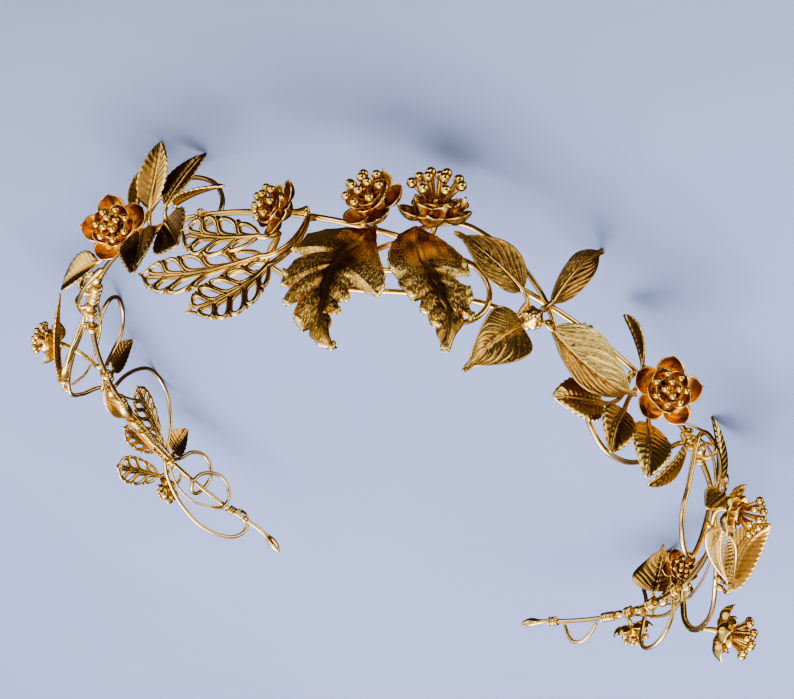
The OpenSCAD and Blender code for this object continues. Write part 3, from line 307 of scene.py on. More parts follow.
# Blossoms: name, seat, foot, angle that it faces, lift over the level, size as a share, clubs of the outer crown,
# turn about itself, spread and rise of its clubs
BLOSSOMS = [
    ["blossom_left_side", [90.4, 0.6, 1.4], [84.4, 2.4, 8.9], 80, 4, 0.85, 7, 0, 4, 6.6],
    ["blossom_left", [45.4, 0.6, 1.4], [44.8, 1.4, 4.6], 0, 22, 1.05, 7, 14, 3, 4.6],
    ["bud_front_left", [10.6, -1.1, 1], [13, 1.8, 3.2], 50, 14, 0.85, 7, 10, 3.4, 6],
    ["blossom_front_left", [2, -1.1, 1], [0.6, -2.6, 4], 26, 2, 0.95, 7, -20, 3.6, 6.4],
    ["blossom_front_right", [-7.6, -1.1, 1], [-7.4, -4.4, 3.4], 10, -34, 1.05, 7, 27, 4.4, 7.6],
    ["blossom_right", [-49.8, 0.6, 1.4], [-46.2, 2.2, 4.4], -16, 18, 1, 7, -6, 3, 4.6],
    ["blossom_right_side", [-70.8, 9.4, 2.6], [-67.4, 7.8, 6.5], -78, 8, 0.85, 7, 0, 4.2, 8],
    ["blossom_right_back", [-97.6, 14, 4.5], [-97, 13.6, 7.8], -88, -2, 1, 7, 20, 4.2, 7.6],
    ["bud_left_back", [125.2, 0.2, 1.5], [125.4, 4.6, 3.6], 122, 24, 0.6, 7, 0, 3.6, 5.6],
    ["bud_right_back", [-107.5, -1.5, 0], [-108, -5.8, -1], -20, 18, 0.7, 7, 30, 3, 5],
    ["bud_right_end", [-124.2, 1.5, 0], [-123.6, 3.2, 1.3], -120, 50, 0.8, 7, 0, 3.4, 5.6],
]

# Thickness of a petal, and radius of a drop of solder
PETAL_THICK, SOLDER_R = 0.34, 0.75

# Rounded opening of a pierced leaf in shares of its cell along and across the leaf, pointed at the midrib's near end
OPENING = [
    [0.02, 0.03], [0.3, 0.05], [0.66, 0.09], [0.9, 0.2], [0.97, 0.42], [0.97, 0.66], [0.88, 0.86], [0.68, 0.97],
    [0.42, 0.98], [0.2, 0.88], [0.08, 0.68], [0.04, 0.4], [0.02, 0.16],
]

# Bead that holds the sprig: its place, the angle it faces and its lift, and its profile as radius and height
KNOT_PLACE, KNOT_ANGLE, KNOT_LIFT = [-24, 5.6, 1.1], -24, 20
KNOT_PROFILE = [
    [0.1, 0], [1.0, 0], [1.3, 0], [1.7, 0.4], [1.9, 0.7], [1.7, 1.1], [1.5, 1.4], [1.7, 1.8], [2.1, 2.2], [2.0, 2.6],
    [1.7, 3.0], [1.3, 3.3], [1.0, 3.6], [0.5, 3.7], [0.1, 3.8]
]

# Golds by material slot: name, name of its colours, roughness, gloss of its polish, brush strokes along and across
# the lay, relief in mm, and what its tone adds, as hammering and as roughness
GOLDS = {
    "wire_gold": ("Pale drawn wire", "wire", 0.26, 0.5, (0.5, 6.0), 0.012, 0.0, 0.0),
    "leaf_gold": ("Brushed leaf gold", "leaf", 0.2, 0.2, (0.8, 9.0), 0.03, 1.0, 0.12),
    "blossom_gold": ("Warm blossom gold", "blossom", 0.22, 0.5, (1.2, 3.0), 0.012, 0.0, 0.12),
}


def unit(v):
    """Vectors of length one along v: each vector over its own length."""
    return v / np.maximum(np.linalg.norm(v, axis=-1, keepdims=True), 1e-12)


def grid(*numbers):
    """Vectors made of their numbers, each of them spread over the same grid."""
    return np.stack(np.broadcast_arrays(*numbers), axis=-1)


def smooth(places, steps):
    """Places on a Catmull-Rom curve: a cubic between each two of them, whose slopes come from their neighbours."""
    p = np.asarray(places, float)
    last = len(p) - 1
    t = np.arange(last * steps + 1) / steps
    i = np.minimum(t.astype(int), last - 1)
    f = (t - i).reshape(-1, *[1] * (p.ndim - 1))
    a, b, c, d = p[np.maximum(i - 1, 0)], p[i], p[i + 1], p[np.minimum(i + 2, last)]
    return (2 * b + (c - a) * f + (2 * a - 5 * b + 4 * c - d) * f**2 + (3 * b - a - 3 * c + d) * f**3) / 2


def bump_at(x, middle, width):
    """Bell over x, one high in the middle: e to minus the square of the distance over the width."""
    return np.exp(-(((x - middle) / width) ** 2))


def bent(start, knee, end, t):
    """Parabola at t from a start to an end, drawn towards its knee: the three weighed by the squares of 1 - t and t."""
    return start * (1 - t) ** 2 + 2 * knee * t * (1 - t) + end * t**2


def circle(sides):
    """Turns of a full circle's points, in radians."""
    return np.linspace(0, 2 * np.pi, sides, endpoint=False)


class Band:
    """Oval round the head that every piece is placed on, in millimetres."""

    def __init__(self, sizes):
        self.half_width = sizes.half_width / MM
        self.half_depth = sizes.half_depth / MM
        self.height = sizes.wire_height / MM
        self.end_angle = sizes.end_angle
        self.left_rise = sizes.left_end_rise / MM
        self.right_rise = sizes.right_end_rise / MM
        self.drop_r = sizes.end_drop_d / MM / 2
        self.base_r = sizes.base_wire_d / MM / 2
        self.vine_r = sizes.vine_wire_d / MM / 2
        self.stem_r = sizes.stem_d / MM / 2
        self.leaf_t = sizes.leaf_t / MM
        self.blossom_r = sizes.blossom_d / MM / 2
        self.ball_r = sizes.ball_d / MM / 2
        # Points every half millimetre or so on every wire, for finding what a stem is soldered to
        base = grid(np.linspace(-151, 151, 900), 0, 0)
        self.wires = self.at(np.concatenate([base] + [smooth(route, 12) for _, route in VINES]))

    def at(self, places):
        """Points at places: the oval moved out by the third number, at the angle, raised by the height."""
        p = np.asarray(places, float)
        a = np.radians(p[..., 0])
        x = (self.half_width + p[..., 2]) * np.sin(a) - MIDDLE_X
        y = -(self.half_depth + p[..., 2]) * np.cos(a) - MIDDLE_Y
        return grid(x, y, self.height + p[..., 1])

    def outward(self, angle):
        """Directions straight out of the oval: its gradient at the angle, level."""
        a = np.radians(np.asarray(angle, float))
        return unit(grid(np.sin(a) / self.half_width, -np.cos(a) / self.half_depth, 0))

    def axes(self, foot, tip, roll):
        """Axes of a leaf: along it, across it and out of its face, turned about its length by roll."""
        along = unit(self.at(tip) - self.at(foot))
        out = self.outward((foot[0] + tip[0]) / 2)
        face = unit(out - along * (out @ along))
        across = np.cross(along, face)
        c, s = math.cos(math.radians(roll)), math.sin(math.radians(roll))
        return along, across * c + face * s, face * c - across * s


def skin(rings, lay=None, hollow=0.0, polish=0.0, loop=False, tone=0.0):
    """Closed surface through rings of points: a four-sided face between each two rings and each two of their points,
    with the ends drawn together to a pole, or the last ring joined to the first on a loop."""
    n, m = rings.shape[:2]
    points = rings.reshape(-1, 3)
    lay = points if lay is None else np.broadcast_to(lay, rings.shape).reshape(-1, 3)
    shades = [np.broadcast_to(s, (n, m)).reshape(-1) for s in (hollow, polish, tone)]
    i = np.arange(n if loop else n - 1)[:, None]
    j = np.arange(m)[None]
    a, b = i * m + j, (i + 1) % n * m + j
    right = (j + 1) % m
    quads = np.stack([a, b, (i + 1) % n * m + right, i * m + right], axis=-1).reshape(-1, 4)
    tris = np.zeros((0, 3), int)
    if not loop:
        poles = rings[[0, -1]].mean(axis=1)
        j = np.arange(m)
        end = (n - 1) * m
        tris = np.concatenate([
            np.stack([j, (j + 1) % m, np.full(m, n * m)], axis=-1),
            np.stack([end + (j + 1) % m, end + j, np.full(m, n * m + 1)], axis=-1),
        ])
        points = np.concatenate([points, poles])
        lay = np.concatenate([lay, lay[[0, -1]]])
        shades = [np.concatenate([s, s[[0, -1]]]) for s in shades]
    a, b, c, d = (points[quads[:, k]] for k in range(4))
    volume = np.sum(np.cross(a, b) * c) + np.sum(np.cross(a, c) * d)
    if len(tris):
        a, b, c = (points[tris[:, k]] for k in range(3))
        volume += np.sum(np.cross(a, b) * c)
    if volume < 0:
        quads, tris = quads[:, ::-1], tris[:, ::-1]
    return {"points": points, "quads": quads, "tris": tris, "lay": lay, "shades": shades}


def rod(path, radius, sides=12, reference=None, flat=1.0, loop=False, **shade):
    """Round rod: circles about a path and square to it, flattened by a share along the reference direction,
    with half-round ends. Without a reference it is the direction in which the path bends least."""
    path = np.asarray(path, float)
    radius = np.broadcast_to(np.asarray(radius, float), len(path)).copy()
    if loop:
        along = unit(np.roll(path, -1, axis=0) - np.roll(path, 1, axis=0))
    else:
        along = unit(np.gradient(path, axis=0))
    if reference is None:
        reference = np.linalg.svd(path - path.mean(axis=0), full_matrices=True)[2][2]
    reference = np.broadcast_to(reference, path.shape)
    if not loop:
        turn = np.radians([80, 60, 40, 20])
        back, on = radius[0] * np.sin(turn), radius[-1] * np.sin(turn[::-1])
        path = np.concatenate([path[0] - along[0] * back[:, None], path, path[-1] + along[-1] * on[:, None]])
        radius = np.concatenate([radius[0] * np.cos(turn), radius, radius[-1] * np.cos(turn[::-1])])
        along, reference = (np.pad(v, ((4, 4), (0, 0)), mode="edge") for v in (along, reference))
        flat = np.pad(flat, 4, mode="edge") if np.ndim(flat) else flat
        shade = {name: np.pad(v, 4, mode="edge") if np.ndim(v) else v for name, v in shade.items()}
    side = unit(np.cross(along, reference))
    up = np.cross(side, along) * (flat[:, None] if np.ndim(flat) else flat)
    turn = circle(sides)
    c, s = np.cos(turn)[None, :, None], np.sin(turn)[None, :, None]
    rings = path[:, None] + radius[:, None, None] * (c * up[:, None] + s * side[:, None])
    travelled = np.concatenate([[0], np.cumsum(np.linalg.norm(np.diff(path, axis=0), axis=1))])
    lay = grid(travelled[:, None], np.cos(turn) * radius[:, None], np.sin(turn) * radius[:, None])
    shade = {name: v[:, None] if np.ndim(v) else v for name, v in shade.items()}
    return skin(rings, lay, loop=loop, **shade)


def ball(centre, radius, axis=UP, stretch=1.0, rings=10, sides=16, **shade):
    """Ball: circles on a sphere from pole to pole, drawn out along an axis by a share."""
    axis = unit(np.asarray(axis, float))
    other = unit(np.cross(axis, (0.3, 1.0, 0.1) if abs(axis[2]) > 0.5 else (0.1, 0.3, 1.0)))
    third = np.cross(axis, other)
    polar = np.linspace(0.12, np.pi - 0.12, rings)[:, None, None]
    turn = circle(sides)[None, :, None]
    round_part = np.sin(polar) * (np.cos(turn) * other + np.sin(turn) * third)
    return skin(np.asarray(centre) + radius * (round_part + np.cos(polar) * stretch * axis), **shade)


def sheet(front, face, thickness, left, right, front_shade, back_shade, lay, tone=0.0):
    """Closed sheet: its front from left to right, a half-round rim, its back from right to left and a half-round rim.
    The rim stands out along the left and right directions by half the thickness."""
    n, m = front.shape[:2]
    face = np.broadcast_to(face, front.shape)
    t = np.broadcast_to(thickness, (n, m))[..., None]
    back = front - face * t
    lean = np.radians([50, 0, -50])[None, :, None]

    def rim(column, out, order):
        """Half circle about the middle of the sheet's edge, from one face to the other."""
        middle = (front[:, column] - face[:, column] * t[:, column] / 2)[:, None]
        half = t[:, column, None] / 2
        return middle + half * (np.cos(order) * out[:, None] + np.sin(order) * face[:, column, None])

    left, right = (np.broadcast_to(v, (n, 3)) for v in (left, right))
    rings = np.concatenate([front, rim(-1, right, lean), back[:, ::-1], rim(0, left, -lean)], axis=1)
    shades = []
    for front_part, back_part in zip(front_shade, back_shade):
        f, b = (np.broadcast_to(s, (n, m)) for s in (front_part, back_part))
        shades.append(np.concatenate([f, f[:, [-1] * 3], b[:, ::-1], f[:, [0] * 3]], axis=1))
    lay = np.broadcast_to(lay, front.shape)
    lays = np.concatenate([lay, lay[:, [-1] * 3], lay[:, ::-1] + (0, 0, 3), lay[:, [0] * 3]], axis=1)
    if np.ndim(tone):
        tone = np.concatenate([tone, np.zeros((n, 3)), tone[:, ::-1] * 0, np.zeros((n, 3))], axis=1)
    return skin(rings, lays, hollow=shades[0], polish=shades[1], tone=tone)


def lathe(profile, sides, ribs=0, depth=0.0, **shade):
    """Closed turned form: the profile, radius and height, carried round the vertical; its radius swells at each of a
    number of ribs by a share that follows a cosine."""
    turn = circle(sides)[None]
    radius = profile[:, 0:1] * (1 + depth * np.cos(ribs * turn))
    return skin(grid(radius * np.cos(turn), radius * np.sin(turn), profile[:, 1:2]), **shade)


def turned(points, angle, lift):
    """Points turned from facing up to facing out at an angle round the head, lifted over the level."""
    a, b = math.radians(angle), math.radians(90 - lift)
    turn = Matrix.Rotation(a, 3, "Z") @ Matrix.Rotation(b, 3, "X")
    return points @ np.array(turn).T


def moved(part, angle, lift, size, foot):
    """A part scaled, turned to where its piece faces and moved to its foot."""
    return dict(part, points=turned(part["points"] * size, angle, lift) + foot)


def copies(part, angles):
    """The same part again at each angle round the vertical: every point turned by the angle."""
    out = []
    for angle in np.radians(angles):
        c, s = math.cos(angle), math.sin(angle)
        turn = np.array([[c, -s, 0], [s, c, 0], UP])
        out.append(dict(part, points=part["points"] @ turn.T, lay=part["lay"] + (float(angle) * 7, 0, 0)))
    return out


def darker(part, share):
    """The same part with more painted shade by a share, or below nothing less painted shade, so brighter."""
    return dict(part, shades=[part["shades"][0] + share, *part["shades"][1:]])


def add_piece(name, parts, node, material):
    """Object made of closed parts, in metres, that stands for a node and takes its finish."""
    counts = np.cumsum([0] + [len(p["points"]) for p in parts])
    points = np.concatenate([p["points"] for p in parts]) * MM
    quads = np.concatenate([p["quads"] + c for p, c in zip(parts, counts)])
    tris = np.concatenate([p["tris"] + c for p, c in zip(parts, counts)])
    mesh = bpy.data.meshes.new(name)
    mesh.vertices.add(len(points))
    mesh.vertices.foreach_set("co", points.astype(np.float32).ravel())
    mesh.loops.add(quads.size + tris.size)
    mesh.loops.foreach_set("vertex_index", np.concatenate([quads.ravel(), tris.ravel()]).astype(np.int32))
    mesh.polygons.add(len(quads) + len(tris))
    starts = np.concatenate([np.arange(len(quads)) * 4, quads.size + np.arange(len(tris)) * 3])
    mesh.polygons.foreach_set("loop_start", starts.astype(np.int32))
    mesh.update(calc_edges=True)
    if mesh.validate():
        raise ValueError(name + ": the mesh had faces that had to be mended")
    mesh.shade_smooth()
    lay = np.concatenate([p["lay"] for p in parts])
    mesh.attributes.new("lay", "FLOAT_VECTOR", "POINT").data.foreach_set("vector", lay.astype(np.float32).ravel())
    # Numbers on each point: darkening for patina with painted shade, paleness for polishing with painted highlights,
    # and the tone of the metal
    for k, shade in enumerate(("hollow", "polish", "tone")):
        values = np.concatenate([p["shades"][k] for p in parts])
        mesh.attributes.new(shade, "FLOAT", "POINT").data.foreach_set("value", values.astype(np.float32))
    piece = bpy.data.objects.new(name, mesh)
    bpy.context.scene.collection.objects.link(piece)
    mesh.materials.append(material)
    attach(piece, BODY)
    if node:
        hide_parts(node)
    return piece


def solder(band, seat):
    """Drop of solder between a stem's end and the nearest wire: a ball drawn out from one to the other."""
    start = band.at(seat)
    apart = np.linalg.norm(band.wires - start, axis=1)
    # A wire that the seat itself lies on isn't the one that it is soldered to
    apart[apart < 0.2] = np.inf
    k = int(np.argmin(apart))
    stretch = max(1.2, (apart[k] / 2 + 0.3) / SOLDER_R)
    middle, way = (start + band.wires[k]) / 2, band.wires[k] - start
    return ball(middle, SOLDER_R, way, stretch, rings=8, sides=14, polish=0.6, hollow=0.15)


class Leaf:
    """How a leaf lies on the band: its seat, foot, length and axes, and what its own row adds to its form."""

    def __init__(self, band, row):
        self.name, self.seat, foot, tip, *self.form, self.arch, self.bend, roll = row
        self.band = band
        self.foot = band.at(foot)
        self.long = np.linalg.norm(band.at(tip) - self.foot)
        self.along, self.across, self.face = band.axes(foot, tip, roll)
        # Painted shade of the left and right half, painted highlight where a share is below nothing, and the depth of
        # the veins
        self.left_dark, self.right_dark, self.veins = PAINTED_SHADE_AND_VEINS.get(self.name, NO_PAINTED_SHADE)
        # How far the face lies over the middle line
        self.rise = band.leaf_t * 0.35

    def line(self, u):
        """Middle line at u from foot to tip: straight, bowed by the arch to its face and by the bend sideways."""
        u = np.asarray(u, float)[..., None]
        bow = (self.face * self.arch + self.across * self.bend) * 4 * u * (1 - u)
        return self.foot + self.along * self.long * u + bow

    def pressed(self, u, v, x, height, thin, hollow, polish, back, lay, tone=0.0):
        """Blade pressed out of sheet: x across it and a height out of its face from its middle line, as thick as its
        share thin of the sheet, with painted shade on each half, and painted highlight where a half's share is below
        nothing."""
        front = self.line(u)[:, None] + self.across * x[..., None] + self.face * (height + self.rise)[..., None]
        # Each half's painted shade adds to its darkening, and a share below nothing paints a highlight instead
        dark = np.where(v < 0, self.left_dark, self.right_dark)
        hollow = np.clip(hollow, 0, 1) + np.clip(dark, 0, 2)
        polish = np.clip(polish * (1 - 0.45 * np.clip(dark, 0, 1)) - np.clip(dark, -1, 0), 0, 1)
        return sheet(front, self.face, self.band.leaf_t * thin, -self.across, self.across, (hollow, polish), back,
                     lay, tone=tone)

    def stem(self, along_blade, r, thick=None):
        """Stem and midrib in one rod: a bent curve from the seat to the foot, then the blade's middle line, thinner
        and thinner. The bend is a parabola whose middle point lies before the foot in the blade's direction."""
        start, thin = self.band.at(self.seat), self.band.stem_r
        thick = thick or thin
        knee = self.foot - self.along * np.linalg.norm(self.foot - start) * 0.55
        path = np.concatenate([bent(start, knee, self.foot, np.linspace(0, 1, 14)[:-1, None]), along_blade])
        radius = np.concatenate([np.linspace(thin, thick, 13), np.linspace(thick, r, len(along_blade))])
        return [rod(path, radius, 12, polish=0.45), solder(self.band, self.seat)]


def rose_leaf(band, row):
    """Serrated leaf: a blade whose half width is a bent sine, folded up on both sides of its midrib, with a fine tooth
    on its rim and a rib in its face for each side vein."""
    leaf = Leaf(band, row)
    width, fold = leaf.form
    teeth = max(round(leaf.long * 0.78), 8)
    u = np.linspace(0, 1, teeth * 8 + 1)
    v = np.linspace(-1, 1, 37)[None]
    side = np.abs(v)
    half = width / 2 * np.maximum(np.sin(np.pi * u**0.8), 0) ** 0.75
    half = np.maximum(half, np.where(u < 0.5, band.stem_r * 0.9, 0.12))[:, None]
    # A vein leaves the midrib at each whole number of the phase and ends in a tooth further on
    phase = teeth * (u[:, None] - 0.17 * side**1.15) + 0.5
    share = phase % 1
    tooth = np.where(share < 0.78, share / 0.78, (1 - share) / 0.22)
    room = np.clip(half / 1.2, 0, 1)
    x = half * v * (1 + (0.11 * tooth - 0.05) * side**8 * room)
    rib = bump_at(share, 0.72, 0.13)
    pillow = np.sin(np.pi * ((share + 0.28) % 1))
    field = np.clip(side * half / 0.5, 0, 1) * (1 - side**10) * room * leaf.veins
    relief = (0.14 * rib + 0.24 * pillow) * field
    trough = -0.18 * bump_at(side * half, 0.55, 0.35) * room
    height = half * fold * np.sqrt(side**2 + 0.004) + relief + trough
    # Darker between the ribs and in the valley beside the midrib, patina with painted shade; paler on the ribs and the
    # teeth, polishing with a painted highlight
    hollow = np.clip(0.7 - rib * 0.5 - 0.45 * pillow, 0, 1) * field + 0.5 * bump_at(side * half, 0.55, 0.4)
    polish = np.clip(0.2 * (rib + pillow) * field + side**12 * (0.1 + 0.9 * tooth), 0, 1)
    blade = leaf.pressed(u, v, x, height, 0.72 - 0.22 * side**4, hollow, polish, (0.35, 0.1), grid(phase * 1.4, x, 0))
    ribline = leaf.line(u)[: len(u) * 19 // 20 : 4] + leaf.face * (leaf.rise + 0.02)
    return [blade] + leaf.stem(ribline, 0.1)


def smooth_leaf(band, row):
    """Smooth cupped leaf: a bent sine for its half width with a narrow beak beyond it, folded and cupped as a parabola,
    with long wavy side veins that run forward along the blade."""
    leaf = Leaf(band, row)
    width, cup = leaf.form
    u = np.linspace(0, 1, 150)
    v = np.linspace(-1, 1, 49)[None]
    side = np.abs(v)
    half = width / 2 * np.maximum(np.sin(np.pi * np.minimum(u / 0.94, 1) ** 0.76), 0) ** 0.85
    half = np.maximum(half, np.where(u < 0.5, band.stem_r * 0.9, 0.9 - 0.5 * u))[:, None]
    room = np.clip(half / 1.5, 0, 1)
    wave = 0.02 * np.sin(9 * u[:, None] + 3 * v) + 0.012 * np.sin(23 * u[:, None] - 4 * side)
    phase = 7 * (u[:, None] - 0.55 * side**1.2 + wave) + 0.2
    share = phase % 1
    rib = bump_at(share, 0.5, 0.1)
    groove = bump_at(share, 0.7, 0.1)
    pillow = np.sin(np.pi * share)
    field = np.clip(side * half / 0.6, 0, 1) * (1 - side**8) * room * leaf.veins
    edge_wave = 0.25 * np.sin(10 * u[:, None] + 1.5 * np.sign(v)) * side**3 * room
    relief = (0.22 * rib - 0.22 * groove + 0.12 * pillow) * field + edge_wave
    trough = -0.2 * bump_at(side * half, 0.5, 0.35) * room
    rim = 0.12 * side**10 * room
    height = half * (0.36 * side + (cup - 0.14) * v**2) + relief + trough + rim
    x = half * v
    # Darker in the grooves and the valley beside the midrib, patina with painted shade; paler on the ribs and the rim,
    # polishing with a painted highlight
    hollow = np.clip(0.2 + 1.1 * groove - 0.6 * rib, 0, 1) * field + 0.6 * bump_at(side * half, 0.4, 0.35)
    polish = np.clip(0.45 * rib * field + side**10 * 0.3, 0, 1)
    lay = grid(leaf.long * u[:, None], phase * 1.6, 0)
    tone = np.where(v < 0, 0.4, 0.15) * np.ones_like(x)
    blade = leaf.pressed(u, v, x, height, 0.75 - 0.2 * side**4, hollow, polish, (0.3, 0.15), lay, tone)
    line = leaf.line(u)
    knob = ball(line[-1] + leaf.face * 0.1, 0.42, leaf.along, 1.5, 8, 12, hollow=0.3)
    ribline = line[: len(u) * 4 // 5 : 5] + leaf.face * (leaf.rise - 0.02)
    return [blade, knob] + leaf.stem(ribline, 0.08)


def vine_leaf(band, row):
    """Lobed leaf: rows from the edges over the vein. Each edge bows out on its way to a lobe's tip, the surface is
    domed beside the vein, sinks towards each notch and rises in a thick polished lip at each tip. Highlights are
    painted on the lips and at its listed places, and shade towards its tip, its notches and its gutters."""
    leaf = Leaf(band, row)
    dome, highlight_spots = leaf.form
    along, across, face, long = leaf.along, leaf.across, leaf.face, leaf.long
    table = np.array(VINE_OUTLINES[leaf.name])
    steps = 10
    last = len(table) - 1
    at_row = np.arange(last * steps + 1) / steps
    share = at_row % 1
    row_of = np.minimum(at_row.astype(int), last - 1)
    vein = smooth(table[:, 0:2], steps)
    straight = np.stack([np.interp(at_row, np.arange(last + 1), column) for column in table.T], axis=-1)
    edges = []
    for first, swell in ((2, 6), (4, 7)):
        edge = straight[:, first:first + 2]
        step = np.linalg.norm(np.diff(table[:, first:first + 2], axis=0), axis=1)
        rising = np.diff(table[:, swell]) > 0.5
        bow = (np.where(rising, 0.2, -0.06) * step)[row_of] * 4 * share * (1 - share)
        edges.append(edge + unit(edge - vein) * bow[:, None])
    left, right = edges
    left_swell, right_swell = straight[:, 6], straight[:, 7]
    c = np.linspace(-1, 1, 71)[None]
    side = np.abs(c)
    edge = np.where(c[..., None] < 0, right[:, None], left[:, None]) - vein[:, None]
    lobe = np.clip(np.where(c < 0, right_swell[:, None], left_swell[:, None]), -1, 1)
    place = vein[:, None] + edge * side[..., None]
    wide = np.linalg.norm(edge, axis=-1)
    from_vein = side * wide * long
    room = np.clip(wide * long / 4, 0, 1)
    far = np.clip((side - 0.3) / 0.7, 0, 1)
    domed = dome * wide * 4 * side * (1 - side)
    relief = 0.15 * lobe * far**2 * (1 - 0.5 * side) * room
    lip = 0.3 * np.clip(lobe, 0, 1) * side**14 * room
    gutter = -0.12 * bump_at(from_vein, 1.6, 1.2) * room
    on_vein = bump_at(from_vein, 0, 0.6)
    height = domed + relief + lip + gutter + 0.35 * on_vein
    u, v = place[..., 0], place[..., 1]
    front = leaf.line(u) + across * (long * v)[..., None] + face * (height + band.leaf_t / 2)[..., None]
    peak = np.clip((lobe - 0.55) * 2.5, 0, 1)
    thickness = band.leaf_t * (0.85 + 0.5 * peak * side**10)
    out = edge / np.maximum(wide, 1e-6)[..., None]
    left_out = unit(along * out[:, -1, 0:1] + across * out[:, -1, 1:2])
    right_out = unit(along * out[:, 0, 0:1] + across * out[:, 0, 1:2])
    # Painted highlights at the listed places and on the lips of the lobes' tips, and a little polishing along the vein
    painted_highlight = sum(bump_at(np.hypot(u - spot_u, v - spot_v), 0, 0.1) for spot_u, spot_v in highlight_spots)
    rim = 1.3 * peak * np.clip((side - 0.9) * 12, 0, 1)
    polish = np.clip(rim + 0.6 * painted_highlight + 0.25 * on_vein, 0, 1)
    # Patina all over, with painted shade added towards the tip, towards the notches and in the gutters beside the vein
    hollow = (0.4 + 0.25 * np.clip(2 * u - 0.6, 0, 1) + 0.25 * np.clip(0.5 - lobe, 0, 1) * far * room
              + 0.35 * bump_at(from_vein, 1.5, 1.3) * room)
    tone = room * np.clip(2.5 * u - 0.3, 0.15, 1) * np.clip(side * 2.6 - 0.35, 0, 1) * (1 - 0.5 * side**6)
    blade = sheet(front, face, thickness, right_out, left_out, (hollow, polish), (0.3, 0.1),
                  grid(long * u, long * v, 0), tone=tone)
    neck = np.linspace(band.at(leaf.seat), leaf.foot + along * 2.5 + face * 0.2, 8)
    parts = [blade, rod(neck, np.linspace(band.stem_r, 0.7, 8), 14, polish=0.4), solder(band, leaf.seat)]
    # A blunt polished end on each lobe, as wide again as it is thick, with a painted highlight
    for column, swell, ways in ((0, right_swell, right_out), (-1, left_swell, left_out)):
        for k in range(2 * steps, len(at_row), steps):
            if swell[k] == 1:
                end = front[k, column] - ways[k] * 0.4 - face * 0.12
                parts.append(ball(end, 0.55, np.cross(ways[k], face), 2.0, polish=1.0, tone=1.0))
    return parts


def pierced_leaf(band, row):
    """Pierced leaf: a flat bar round each opening, along a smooth closed curve through the opening's places, a web
    under each two bars, and a midrib. The openings lean forward off the midrib by the leaf's slant."""
    leaf = Leaf(band, row)
    width, slots, slant = leaf.form
    face, total = leaf.face, slots + 0.5
    pitch = leaf.long / total
    bar = min(0.46, pitch * (0.2 if slots < 8 else 0.13))
    rise = band.leaf_t * 0.2

    def blade_point(u, v, rise):
        """Point at u along the blade and v across it, in shares of the half width: slanted forward off the midrib."""
        half = np.maximum(width / 2 * np.maximum(np.sin(np.pi * np.clip(u, 0, 1)**0.85), 0)**0.7, 0.3)
        ut = u + slant * np.abs(v) * half / width * 2.4 * u * (1 - u)
        return leaf.line(ut) + leaf.across * (half * v)[..., None] + face * (rise + 0.25 * np.abs(v))[..., None]

    parts = []
    ring = smooth(OPENING[-1:] + OPENING + OPENING[:2], 5)[5:-5]
    cu, cv = ring[:-1].T
    outer = cv > 0.6
    for side in (-1, 1):
        for k in range(slots):
            path = blade_point((k + 0.03 + 0.94 * cu) / total, side * (0.08 + 0.87 * cv), rise)
            # Paler at the outer end of each opening, polishing with a painted highlight, and darker at its inner end
            # and on the webs, patina with painted shade
            parts.append(rod(path, bar, 10, reference=face, flat=0.85, loop=True,
                             polish=0.25 + 0.55 * outer, hollow=0.35 - 0.3 * outer))
            if k:
                web = blade_point(np.full(9, k / total), side * np.linspace(0.05, 0.9, 9), rise)
                parts.append(rod(web, bar * np.linspace(0.8, 1.3, 9), 8, reference=face, flat=0.7, hollow=0.5))
        # A fine leaf like a feather has a rim along the ends of its openings
        if slots > 8:
            rim = blade_point(np.linspace(0.01, 0.98, 50), side * np.full(50, 0.97), rise + 0.05)
            parts.append(rod(rim, 0.34, 10, reference=face, flat=0.9, polish=0.5))
    # The leaf's point: a bar from the last opening's outer end on each side
    t = np.linspace(0, 1, 12)
    for side in (-1, 1):
        path = blade_point((slots - 0.75 + 1.3 * t) / total, side * 0.97 * (1 - t**3), rise)
        parts.append(rod(path, bar * (1 - 0.35 * t), 10, reference=face, flat=0.85, polish=0.6, hollow=0.1))
    midrib = leaf.line(np.linspace(0, (slots - 0.3) / total, 40)) + face * (rise + 0.08)
    return parts + leaf.stem(midrib, min(0.32, bar), thick=min(bar * 1.5, 0.6))


def petal(reach, width, neck, lift, cup, nib=0.5, rows=22):
    """Spoon petal that points along X: its half width grows from the neck to a near circle and ends in a nib; its rim
    stands up as the square of the distance from the middle of the circle. It is then raised by its lift."""
    s = np.linspace(0, 1, rows)
    v = np.linspace(-1, 1, 15)[None]
    disc = width / 2
    start = reach - nib - 2 * disc
    x = start * 0.4 + (reach - start * 0.4) * s
    ahead = np.clip((x - start - disc) / disc, -1, 1)
    half = disc * np.sqrt(np.maximum(1 - np.abs(ahead) ** 2.2, 0))
    half = np.maximum(half, np.where(x < start + disc, neck, np.clip((reach - x) * 0.6, 0.06, 0.4)))[:, None]
    x = x[:, None]
    y = half * v
    from_middle = np.hypot((x - start - disc) / disc, y / disc)
    points = grid(x, y, cup * np.minimum(from_middle, 1.15) ** 2 - cup * 0.9)
    a = math.radians(lift)
    tilt = np.array([[math.cos(a), 0, -math.sin(a)], [0, 1, 0], [math.sin(a), 0, math.cos(a)]])
    # Darker in the petal's cup, patina with painted shade, and paler on its raised rim, polishing with a painted
    # highlight
    hollow = np.clip(1.1 - from_middle, 0, 1) * 0.7
    polish = np.clip((from_middle - 0.85) * 5, 0, 1) * 0.9
    return sheet(points @ tilt.T, tilt @ UP, PETAL_THICK, (0, -1, 0), (0, 1, 0), (hollow, polish), (0.3, 0.3),
                 grid(x, y, 0))


